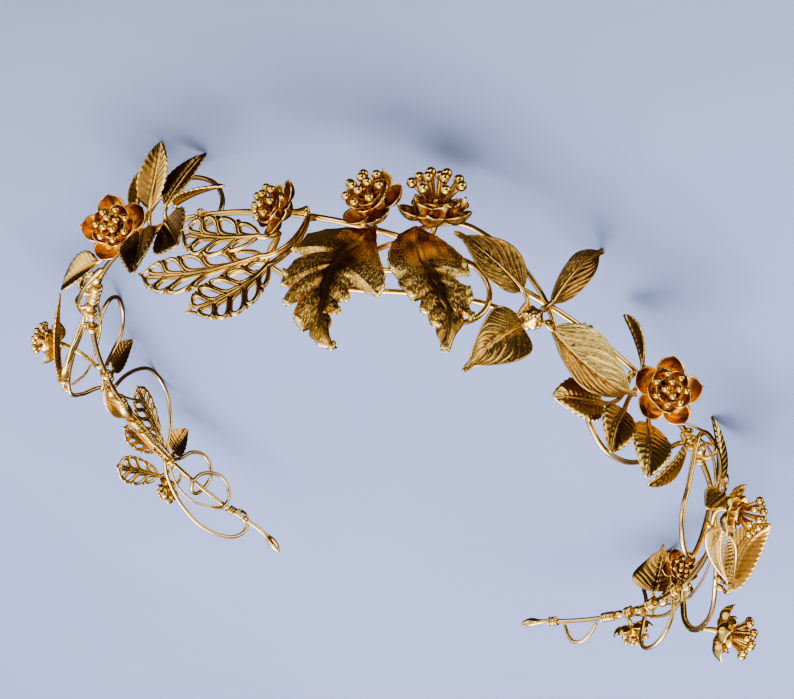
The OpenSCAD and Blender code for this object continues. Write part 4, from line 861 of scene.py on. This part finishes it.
def blossom(band, row):
    """Blossom with its foot at the origin and its face up, then turned: a bowl, five spoon petals, five cups between
    them, and two crowns of clubs that fan out to a spread at a rise, each a rod that widens to a ball at its tip."""
    name, seat, foot, angle, lift, size, clubs, turn, spread, rise = row
    # Painted shade on the outer petals and on the middle from the blossom's row, or painted highlight below nothing
    outer_dark, inner_dark, _ = PAINTED_SHADE_AND_VEINS.get(name, NO_PAINTED_SHADE)
    fifths = np.arange(5) * 72
    spoon = petal(reach=band.blossom_r + 0.8, width=5.3, neck=0.9, lift=15, cup=1.5)
    cup = petal(reach=5.0, width=4.0, neck=0.8, lift=27, cup=1.5, nib=0.15, rows=18)
    cup["points"] = cup["points"] + (0, 0, 0.9)
    inner = copies(cup, fifths + 36)
    radii, heights = np.array([[0.8, 1.5, 2.1, 2.5, 2.7], [0, 0.9, 1.6, 2.4, 3.0]])
    bowl = grid(np.append(radii, radii[::-1] * 0.86), np.append(heights, heights[::-1] + 0.15))
    # Painted shade deep in the blossom: the bowl, the feet of the clubs and the middle ball are darker
    inner.append(lathe(bowl, 24, hollow=0.4))
    t = np.linspace(0, 1, 10)
    for count, first, reach, top in ((clubs, 0, spread, rise * 0.82), (clubs - 3, 30, spread * 0.45, rise)):
        path = grid(0.6 + (reach - 0.6) * t**1.2, 0, 0.9 + (top - 0.9) * t**0.9)
        club = rod(path, 0.34 + 0.3 * t, 10, reference=(1, 0, 0), flat=0.6, polish=0.2 * t, hollow=1 - 0.6 * t)
        head = ball(path[-1], band.ball_r * min(1, rise / 6), path[-1] - path[-2], 1.05, polish=0.3, hollow=0.1)
        for part in (club, head):
            inner += copies(part, np.arange(count) * 360 / count + first)
    inner.append(ball((0, 0, 2.6), 1.2, hollow=0.6))
    parts = [darker(part, outer_dark) for part in copies(spoon, fifths)] + [darker(part, inner_dark) for part in inner]
    start, place = band.at(seat), band.at(foot)
    parts = [moved(again, angle, lift, size, place) for part in parts for again in copies(part, [turn])]
    facing = turned(np.array(UP), angle, lift)
    knee = place - facing * np.linalg.norm(place - start) * 0.5
    path = bent(start, knee, place + facing * 0.5, np.linspace(0, 1, 10)[:, None])
    parts.append(rod(path, np.linspace(band.stem_r, 0.8 * size, 10), 12, polish=0.3))
    parts.append(solder(band, seat))
    return parts


def knot(band):
    """Ribbed bead that holds the sprig: a turned profile with ribs, with balls round its lower collar."""
    parts = [lathe(smooth(KNOT_PROFILE, 4), 60, ribs=6, depth=0.09, polish=0.6, hollow=0.1)]
    bead = ball((1.75, 0, 1.1), 0.72, rings=9, sides=14, polish=1.0)
    parts += copies(bead, np.arange(5) * 72 + 20)
    parts.append(ball((0, 0, 3.2), 1.0, polish=1.0))
    return [moved(part, KNOT_ANGLE, KNOT_LIFT, 1, band.at(KNOT_PLACE)) for part in parts]


def vine_wire(band, row):
    """Drawn wire along a smooth curve through its places, with half-round ends."""
    places = smooth(row[1], 12)
    return [rod(band.at(places), band.vine_r, 14, reference=band.outward(places[:, 0]), polish=0.5)]


def base_wire(band):
    """Base wire: the oval from end to end, level but for a small rise at its ends, drawn out into a flattened drop."""
    # In degrees: where the wire ends and begins to rise, the stretch with finer steps at its ends, and its drops
    end, level, fine, drop = band.end_angle, 144.0, 6, 4.4
    a = np.concatenate([np.linspace(-end, -end + fine, 40)[:-1], np.linspace(-end + fine, end - fine, 500),
                        np.linspace(end - fine, end, 40)[1:]])
    rise = np.where(a > 0, band.left_rise, band.right_rise)
    rise = rise * (np.maximum(np.abs(a) - level, 0) / (end - level)) ** 2
    inside = end - np.abs(a)
    share = np.interp(inside, [0, 0.7, 1.6, 2.5, 3.4, drop], [0.45, 0.8, 1, 0.9, 0.6, 0.46])
    radius = np.where(inside < drop, share * band.drop_r, band.base_r)
    flat = np.where(inside < drop, 0.75 + 0.25 * inside / drop, 1.0)
    return [rod(band.at(grid(a, rise, 0)), radius, 20, reference=band.outward(a), flat=flat, polish=0.5)]


def binding(band, middle, long, thin=0.33, pitch=0.85):
    """Binding: a thin wire wound round the base wire, a circle square to it that moves on by a little more than its
    own thickness each turn."""
    turns = long / pitch
    t = np.linspace(0, turns, int(turns * 22) + 1)
    here = band.at([[middle - 0.5, 0, 0], [middle + 0.5, 0, 0]])
    a = middle + (t / turns - 0.5) * long / np.linalg.norm(here[1] - here[0])
    centre = band.at(grid(a, 0, 0))
    t = t[:, None]
    r = (band.base_r + thin + 0.01) * (1 + 0.06 * np.sin(3.1 * t) + 0.05 * np.sin(7.7 * t))
    path = centre + r * (np.cos(2 * np.pi * t) * band.outward(a) + np.sin(2 * np.pi * t) * np.array(UP))
    return rod(path, thin, 8, reference=unit(np.gradient(centre, axis=0)), polish=0.7)


def bindings(band):
    """Every binding of the base wire: a coil at its angle, as long as the table says."""
    return [binding(band, middle, long) for middle, long in BINDINGS]


def fine_wires(band):
    """Fine wires along smooth curves through their places, coils of thin wire round the base wire, drops of gold drawn
    out along it and small rings beside it."""
    parts = []
    for thin, end_thin, route in FINE_WIRES:
        places = smooth(route, 10)
        radius = np.interp(np.linspace(0, 1, len(places)), [0, 0.4, 1], [thin * 0.7, thin, end_thin])
        parts.append(rod(band.at(places), radius, 12, reference=band.outward(places[:, 0]), polish=0.7))
    parts += [binding(band, middle, long, thin=0.42, pitch=1.15) for middle, long in FINE_COILS]
    for place, radius, stretch in DROPS:
        along = band.at(place) - band.at(np.add(place, (-1, 0, 0)))
        parts.append(ball(band.at(place), radius, along, stretch, 14, 20, polish=0.7))
    turn = circle(60)[:, None]
    for place, radius, thin, tilt in RINGS:
        along = unit(band.at(place) - band.at(np.add(place, (-1, 0, 0))))
        a = math.radians(tilt)
        level = along * math.cos(a) + band.outward(place[0]) * math.sin(a)
        path = band.at(place) + radius * (np.cos(turn) * level + np.sin(turn) * np.array(UP))
        parts.append(rod(path, thin, 10, reference=np.cross(level, UP), loop=True, polish=0.6))
    return parts


class Value:
    """Output of a node that is reckoned with as a number; each sign adds its Math node."""

    def __init__(self, finish, socket):
        self.finish = finish
        self.socket = socket

    def math(self, operation, *values, clamp=False):
        """A Math node's result."""
        settings = {"operation": operation, "use_clamp": clamp}
        return self.finish.add("ShaderNodeMath", settings, dict(enumerate(values)))

    def __add__(self, other):
        return self.math("ADD", self, other)

    def __radd__(self, other):
        return self.math("ADD", other, self)

    def __sub__(self, other):
        return self.math("SUBTRACT", self, other)

    def __rsub__(self, other):
        return self.math("SUBTRACT", other, self)

    def __mul__(self, other):
        return self.math("MULTIPLY", self, other)

    def __rmul__(self, other):
        return self.math("MULTIPLY", other, self)

    def limited(self):
        """The number kept between nothing and one."""
        return self.math("ADD", self, 0.0, clamp=True)

    def rising(self, low, high):
        """Nothing below low, one above high and a smooth rise between."""
        values = {"Value": self, "From Min": low, "From Max": high}
        return self.finish.add("ShaderNodeMapRange", {"interpolation_type": "SMOOTHSTEP"}, values)


class Finish:
    """Node tree of a material or of the world, which every node is added to in the same way."""

    def __init__(self, owner):
        owner.use_nodes = True
        self.tree = owner.node_tree
        self.tree.nodes.clear()

    def add(self, kind, settings=None, values=None, output=0):
        """Adds a node: its settings first, then the values or links of its sockets, by name or number."""
        node = self.tree.nodes.new(kind)
        for name, value in (settings or {}).items():
            if name == "stops":
                for k, (position, colour) in enumerate(value):
                    stops = node.color_ramp.elements
                    stop = stops[k] if k < len(stops) else stops.new(position)
                    stop.position, stop.color = position, colour
            else:
                setattr(node, name, value)
        for name, value in (values or {}).items():
            if isinstance(value, Value):
                self.tree.links.new(value.socket, node.inputs[name])
            else:
                node.inputs[name].default_value = value
        return Value(self, node.outputs[output]) if node.outputs else None

    def attribute(self, name):
        """One of the numbers that a piece's mesh carries."""
        return self.add("ShaderNodeAttribute", {"attribute_name": name}, output="Fac")

    def mix(self, share, first, second):
        """Colour between two, by a share from nothing to one."""
        return self.add("ShaderNodeMix", {"data_type": "RGBA"}, {0: share, 6: first, 7: second}, output=2)

    def stretched(self, vector, scale):
        """Vector with each of its numbers multiplied."""
        return self.add("ShaderNodeVectorMath", {"operation": "MULTIPLY"}, {0: vector, 1: scale})

    def noise(self, vector, scale, detail=3.0, roughness=0.55):
        """Soft noise from nothing to one."""
        values = {"Vector": vector, "Scale": scale, "Detail": detail, "Roughness": roughness}
        return self.add("ShaderNodeTexNoise", None, values)

    def shade(self, values):
        """Surface of a material, from the values or links of its shader's sockets."""
        shader = self.add("ShaderNodeBsdfPrincipled", None, values)
        self.add("ShaderNodeOutputMaterial", None, {"Surface": shader})


def rgba(colour):
    """Colour with full cover."""
    return (*colour, 1.0)


def gold_metal(slot, finish):
    """Gold finish: darker where the mesh asks for patina and painted shade and in soft clouds, paler where it asks for
    polishing and painted highlights, and there by its gloss smoother, with fine brush strokes along the lay of the
    metal that roughen it. Its tone hammers or softens the metal."""
    name, tint, rough, gloss, strokes, depth, hammer, soften = GOLDS[slot]
    material = bpy.data.materials.get(name)
    if material:
        return material
    colour, deep, bright = (rgba(getattr(finish, tint + kind)) for kind in ("", "_shade", "_light"))
    material = bpy.data.materials.new(name)
    f = Finish(material)
    lay = f.add("ShaderNodeAttribute", {"attribute_name": "lay"}, output="Vector")
    hollow, polish, tone = f.attribute("hollow"), f.attribute("polish"), f.attribute("tone")
    place = f.add("ShaderNodeTexCoord", output="Object")
    clouds = f.noise(place, 260.0, 2.0)
    patches = f.noise(place, 900.0, 3.0)
    brushed = f.noise(f.stretched(lay, (strokes[0], strokes[1], strokes[1])), 1.0, 4.0, 0.7)
    hammered = f.noise(f.stretched(lay, (1.3, 3.0, 1.0)), 1.0, 3.0, 0.6).rising(0.5, 0.6) * tone * hammer
    # Darker for patina and painted shade, in soft clouds and along the brush strokes; flecks of hammering lighten it
    tarnish_and_shade = (hollow * 0.75 + (clouds - 0.5) * 0.9 + (brushed - 0.5) * 0.35 - hammered).limited()
    # Paler for polishing and painted highlights, in patches and on the flecks of hammering
    shine = (polish * 0.9 + (patches - 0.5) * 0.25 + hammered).limited()
    paint = f.mix(shine, f.mix(tarnish_and_shade, colour, deep), bright)
    roughness = (rough + (brushed - 0.5) * 0.22 + tarnish_and_shade * 0.08 - shine * rough * gloss + tone * soften).limited()
    height = brushed * 0.6 + hammered * 2.0
    bump = f.add("ShaderNodeBump", None, {"Strength": 1.0, "Distance": depth * MM, "Height": height})
    f.shade({"Base Color": paint, "Metallic": 1.0, "Roughness": roughness, "Normal": bump})
    return material


def length(name, text, value, low, high):
    """Property for a length in metres, from its value and limits in millimetres."""
    return FloatProperty(name=name, description=text, default=value * MM, min=low * MM, max=high * MM,
                         unit="LENGTH", subtype="DISTANCE", precision=4)


def colour(name, text, value):
    """Property for a colour."""
    return FloatVectorProperty(name=name, description=text, default=value, min=0, max=1, size=3, subtype="COLOR")


class CrownSizes(bpy.types.PropertyGroup):
    half_width: length("Half width", "From the middle of the crown to the base wire", 76.6, 70, 84)
    half_depth: length("Half depth", "From the middle of the crown's curve to the base wire at the front", 88.7, 82, 96)
    wire_height: length("Wire height", "Height of the base wire over the table", 17, 16, 20)
    end_angle: FloatProperty(name="End angle", description="Angle round the head at which the base wire ends",
                             default=151.5, min=146, max=154)
    left_end_rise: length("Left end rise", "Rise of the base wire at its left end", 2.8, 0, 3)
    right_end_rise: length("Right end rise", "Rise of the base wire at its right end", 1, 0, 3)
    base_wire_d: length("Base wire", "Diameter of the base wire", 1.2, 1, 1.4)
    vine_wire_d: length("Vine wire", "Diameter of the vine wires", 1.04, 0.7, 1.2)
    end_drop_d: length("End drop", "Width of the drop at each end of the base wire", 2.6, 2, 3)
    stem_d: length("Stem", "Diameter of the leaf stems", 0.9, 0.7, 1)
    leaf_t: length("Leaf thickness", "Thickness of the pressed leaves", 0.7, 0.5, 0.8)
    blossom_d: length("Blossom", "Diameter of a blossom over its outer petals", 13.2, 12, 14)
    ball_d: length("Stamen ball", "Diameter of the balls on the stamens", 1.9, 1.3, 2.1)


# Each gold mixes in its shade colour for patina and painted shade, and its light colour for polishing and painted
# highlights
class CrownFinish(bpy.types.PropertyGroup):
    wire: colour("Wire", "Drawn wire", (0.68, 0.44, 0.14))
    wire_shade: colour("Wire shade", "Wire in its darker streaks", (0.34, 0.18, 0.05))
    wire_light: colour("Wire light", "Wire where it is rubbed bright", (0.96, 0.73, 0.31))
    leaf: colour("Leaf", "Brushed leaves", (0.64, 0.34, 0.08))
    leaf_shade: colour("Leaf shade", "Hollows of the leaves", (0.1, 0.036, 0.007))
    leaf_light: colour("Leaf light", "Polished rims and ribs of the leaves", (1.0, 0.76, 0.28))
    blossom: colour("Blossom", "Blossoms", (0.84, 0.53, 0.12))
    blossom_shade: colour("Blossom shade", "Hollows of the blossoms", (0.4, 0.17, 0.022))
    blossom_light: colour("Blossom light", "Polished rims and balls of the blossoms", (0.98, 0.78, 0.34))
    floor: colour("Floor", "Studio floor", (0.26, 0.315, 0.56))


def dress(context, slot, pieces, stands_for_node=True):
    """Makes each piece out of the parts that its function works out on the band, in a slot's gold. A piece stands for
    the node that it has its name from, apart from one that is in the scene alone."""
    metal = gold_metal(slot, context.scene.crown_finish)
    band = Band(context.scene.crown_sizes)
    for name, make, *row in pieces:
        add_piece(name + "_gold", make(band, *row), name if stands_for_node else None, metal)
    return {"FINISHED"}


class CROWN_OT_base_wire(bpy.types.Operator):
    """Draws the base wire round the head with a drop at each end"""
    bl_idname = "crown.base_wire"
    bl_label = "Base wire"

    def execute(self, context):
        return dress(context, "wire_gold", [("base_wire", base_wire)])


class CROWN_OT_vine_wires(bpy.types.Operator):
    """Draws the loops, arcs and scrolls of vine wire and the front rail"""
    bl_idname = "crown.vine_wires"
    bl_label = "Vine wires"

    def execute(self, context):
        return dress(context, "wire_gold", [(row[0], vine_wire, row) for row in VINES])


class CROWN_OT_bindings(bpy.types.Operator):
    """Winds the bindings round the base wire"""
    bl_idname = "crown.bindings"
    bl_label = "Bindings"

    def execute(self, context):
        return dress(context, "wire_gold", [("binding_coils", bindings)])


class CROWN_OT_fine_wires(bpy.types.Operator):
    """Lays the fine wires and coils that run with the base wire and the vine wires"""
    bl_idname = "crown.fine_wires"
    bl_label = "Fine wires"

    def execute(self, context):
        return dress(context, "wire_gold", [("fine_wires", fine_wires)], stands_for_node=False)


class CROWN_OT_rose_leaves(bpy.types.Operator):
    """Presses the serrated rose leaves and sets them on their stems"""
    bl_idname = "crown.rose_leaves"
    bl_label = "Rose leaves"

    def execute(self, context):
        return dress(context, "leaf_gold", [(row[0], rose_leaf, row) for row in ROSE_LEAVES])


class CROWN_OT_smooth_leaves(bpy.types.Operator):
    """Presses the smooth cupped leaves of the sprig and the two beside it"""
    bl_idname = "crown.smooth_leaves"
    bl_label = "Smooth leaves"

    def execute(self, context):
        return dress(context, "leaf_gold", [(row[0], smooth_leaf, row) for row in SMOOTH_LEAVES])


class CROWN_OT_vine_leaves(bpy.types.Operator):
    """Casts the two lobed vine leaves at the front"""
    bl_idname = "crown.vine_leaves"
    bl_label = "Vine leaves"

    def execute(self, context):
        return dress(context, "leaf_gold", [(row[0], vine_leaf, row) for row in VINE_LEAVES])


class CROWN_OT_pierced_leaves(bpy.types.Operator):
    """Pierces the filigree leaves and the feather leaf"""
    bl_idname = "crown.pierced_leaves"
    bl_label = "Pierced leaves"

    def execute(self, context):
        return dress(context, "leaf_gold", [(row[0], pierced_leaf, row) for row in PIERCED_LEAVES])


class CROWN_OT_blossoms(bpy.types.Operator):
    """Builds the blossoms and buds with their stamens"""
    bl_idname = "crown.blossoms"
    bl_label = "Blossoms"

    def execute(self, context):
        return dress(context, "blossom_gold", [(row[0], blossom, row) for row in BLOSSOMS])


class CROWN_OT_sprig_knot(bpy.types.Operator):
    """Turns the ribbed bead that holds the sprig"""
    bl_idname = "crown.sprig_knot"
    bl_label = "Sprig knot"

    def execute(self, context):
        return dress(context, "blossom_gold", [("sprig_knot", knot)])


def placed(scene, name, data, place, turn):
    """Lamp or camera, turned and then moved to its place in metres."""
    thing = bpy.data.objects.new(name, data)
    thing.matrix_world = Matrix.Translation(place) @ turn.to_4x4()
    scene.collection.objects.link(thing)
    return thing


def lay_floor(scene):
    """Floor at the crown's lowest point: a flat square with a soft drift in its tint, and a broad corner with painted
    shade, darker as if far from the light.
    """
    low = cad_box[0][2]
    mesh = bpy.data.meshes.new("floor")
    corners = [(x * FLOOR_REACH, y * FLOOR_REACH, low) for x, y in ((-1, -1), (1, -1), (1, 1), (-1, 1))]
    mesh.from_pydata(corners, [], [(0, 1, 2, 3)])
    floor = bpy.data.objects.new("floor", mesh)
    scene.collection.objects.link(floor)
    cloth = bpy.data.materials.new("Pale studio floor")
    f = Finish(cloth)
    place = f.add("ShaderNodeTexCoord", output="Object")
    across, ahead = (f.add("ShaderNodeSeparateXYZ", None, {0: place}, output=axis) for axis in "XY")
    dark, pale, far = (rgba(c * k for c, k in zip(scene.crown_finish.floor, shares))
                       for shares in (FLOOR_DARK, FLOOR_PALE, FLOOR_FAR))
    paint = f.mix(f.noise(place, 6.0, 3.0).rising(0.3, 0.75), dark, pale)
    # Painted shade: the tint falls off towards the corner far from the light
    paint = f.mix((across * 0.6 - ahead).rising(0.0, 0.22), paint, far)
    f.shade({"Base Color": paint, "Roughness": 0.75})
    mesh.materials.append(cloth)
    # The gold mirrors the dim studio below it, not the floor, as it would high over a table
    floor.visible_glossy = False


def light_studio(scene):
    """Soft room light: tones from the ground to the ceiling with glows laid over them, and one broad lamp above."""
    scene.world = bpy.data.worlds.new("Studio")
    w = Finish(scene.world)
    way = w.add("ShaderNodeTexCoord", output="Generated")
    height = w.add("ShaderNodeSeparateXYZ", None, {0: way}, output="Z")
    light = w.add("ShaderNodeValToRGB", {"stops": STUDIO_TONES}, {0: height * 0.5 + 0.5})
    for towards, outer, inner, glow in STUDIO_GLOWS:
        ahead = w.add("ShaderNodeVectorMath", {"operation": "DOT_PRODUCT"},
                      {0: way, 1: Vector(towards).normalized()}, output="Value")
        light = w.mix(ahead.rising(outer, inner), light, glow)
    back = w.add("ShaderNodeBackground", None, {"Color": light, "Strength": 1.0})
    w.add("ShaderNodeOutputWorld", None, {"Surface": back})

    place, aim, wide, tall, power, tint = OVERHEAD
    lamp = bpy.data.lights.new("overhead", "AREA")
    lamp.shape = "RECTANGLE"
    lamp.size, lamp.size_y, lamp.energy, lamp.color = wide, tall, power, tint
    shining = (Vector(place) - Vector(aim)).to_track_quat("Z", "Y").to_matrix()
    placed(scene, "overhead", lamp, place, shining)


def set_camera(scene):
    """Camera at the photograph's angle: it looks against its back direction, rolled over by its roll."""
    view = bpy.data.cameras.new("camera")
    view.sensor_fit = "HORIZONTAL"
    view.sensor_width, view.lens = CAMERA_SENSOR, CAMERA_LENS
    view.clip_start, view.clip_end = 0.01, 30
    back = Vector(CAMERA_BACK).normalized()
    side = Vector(UP).cross(back).normalized()
    over = back.cross(side)
    c, s = math.cos(math.radians(CAMERA_ROLL)), math.sin(math.radians(CAMERA_ROLL))
    turn = Matrix((side * c + over * s, over * c - side * s, back)).transposed()
    scene.camera = placed(scene, "camera", view, Vector(CAMERA_PLACE) * MM, turn)
    scene.view_settings.view_transform = "AgX"
    scene.view_settings.look = "AgX - Medium High Contrast"


class CROWN_OT_stage(bpy.types.Operator):
    """Lays the pale floor and sets the soft light and the camera"""
    bl_idname = "crown.stage"
    bl_label = "Stage"

    def execute(self, context):
        lay_floor(context.scene)
        light_studio(context.scene)
        set_camera(context.scene)
        return {"FINISHED"}


class CROWN_PT_panel(bpy.types.Panel):
    """Lists the crown's pieces, sizes and finishes in the sidebar"""
    bl_idname = "CROWN_PT_panel"
    bl_label = "Flower crown"
    bl_space_type = "VIEW_3D"
    bl_region_type = "UI"
    bl_category = "Crown"

    def draw(self, context):
        for group in (context.scene.crown_sizes, context.scene.crown_finish):
            box = self.layout.box()
            for name in group.__annotations__:
                box.prop(group, name)
        for piece in PIECES:
            self.layout.operator(piece.bl_idname)


PIECES = (
    CROWN_OT_stage, CROWN_OT_base_wire, CROWN_OT_vine_wires, CROWN_OT_bindings, CROWN_OT_fine_wires,
    CROWN_OT_rose_leaves, CROWN_OT_smooth_leaves, CROWN_OT_vine_leaves, CROWN_OT_pierced_leaves,
    CROWN_OT_blossoms, CROWN_OT_sprig_knot,
)
CLASSES = (CrownSizes, CrownFinish, *PIECES, CROWN_PT_panel)


def register():
    for cls in CLASSES:
        bpy.utils.register_class(cls)
    bpy.types.Scene.crown_sizes = PointerProperty(type=CrownSizes)
    bpy.types.Scene.crown_finish = PointerProperty(type=CrownFinish)


def unregister():
    del bpy.types.Scene.crown_finish
    del bpy.types.Scene.crown_sizes
    for cls in reversed(CLASSES):
        bpy.utils.unregister_class(cls)


def main():
    register()
    bpy.ops.crown.stage()
    bpy.ops.crown.base_wire()
    bpy.ops.crown.vine_wires()
    bpy.ops.crown.bindings()
    bpy.ops.crown.fine_wires()
    bpy.ops.crown.rose_leaves()
    bpy.ops.crown.smooth_leaves()
    bpy.ops.crown.vine_leaves()
    bpy.ops.crown.pierced_leaves()
    bpy.ops.crown.blossoms()
    bpy.ops.crown.sprig_knot()


if __name__ == "__main__":
    main()
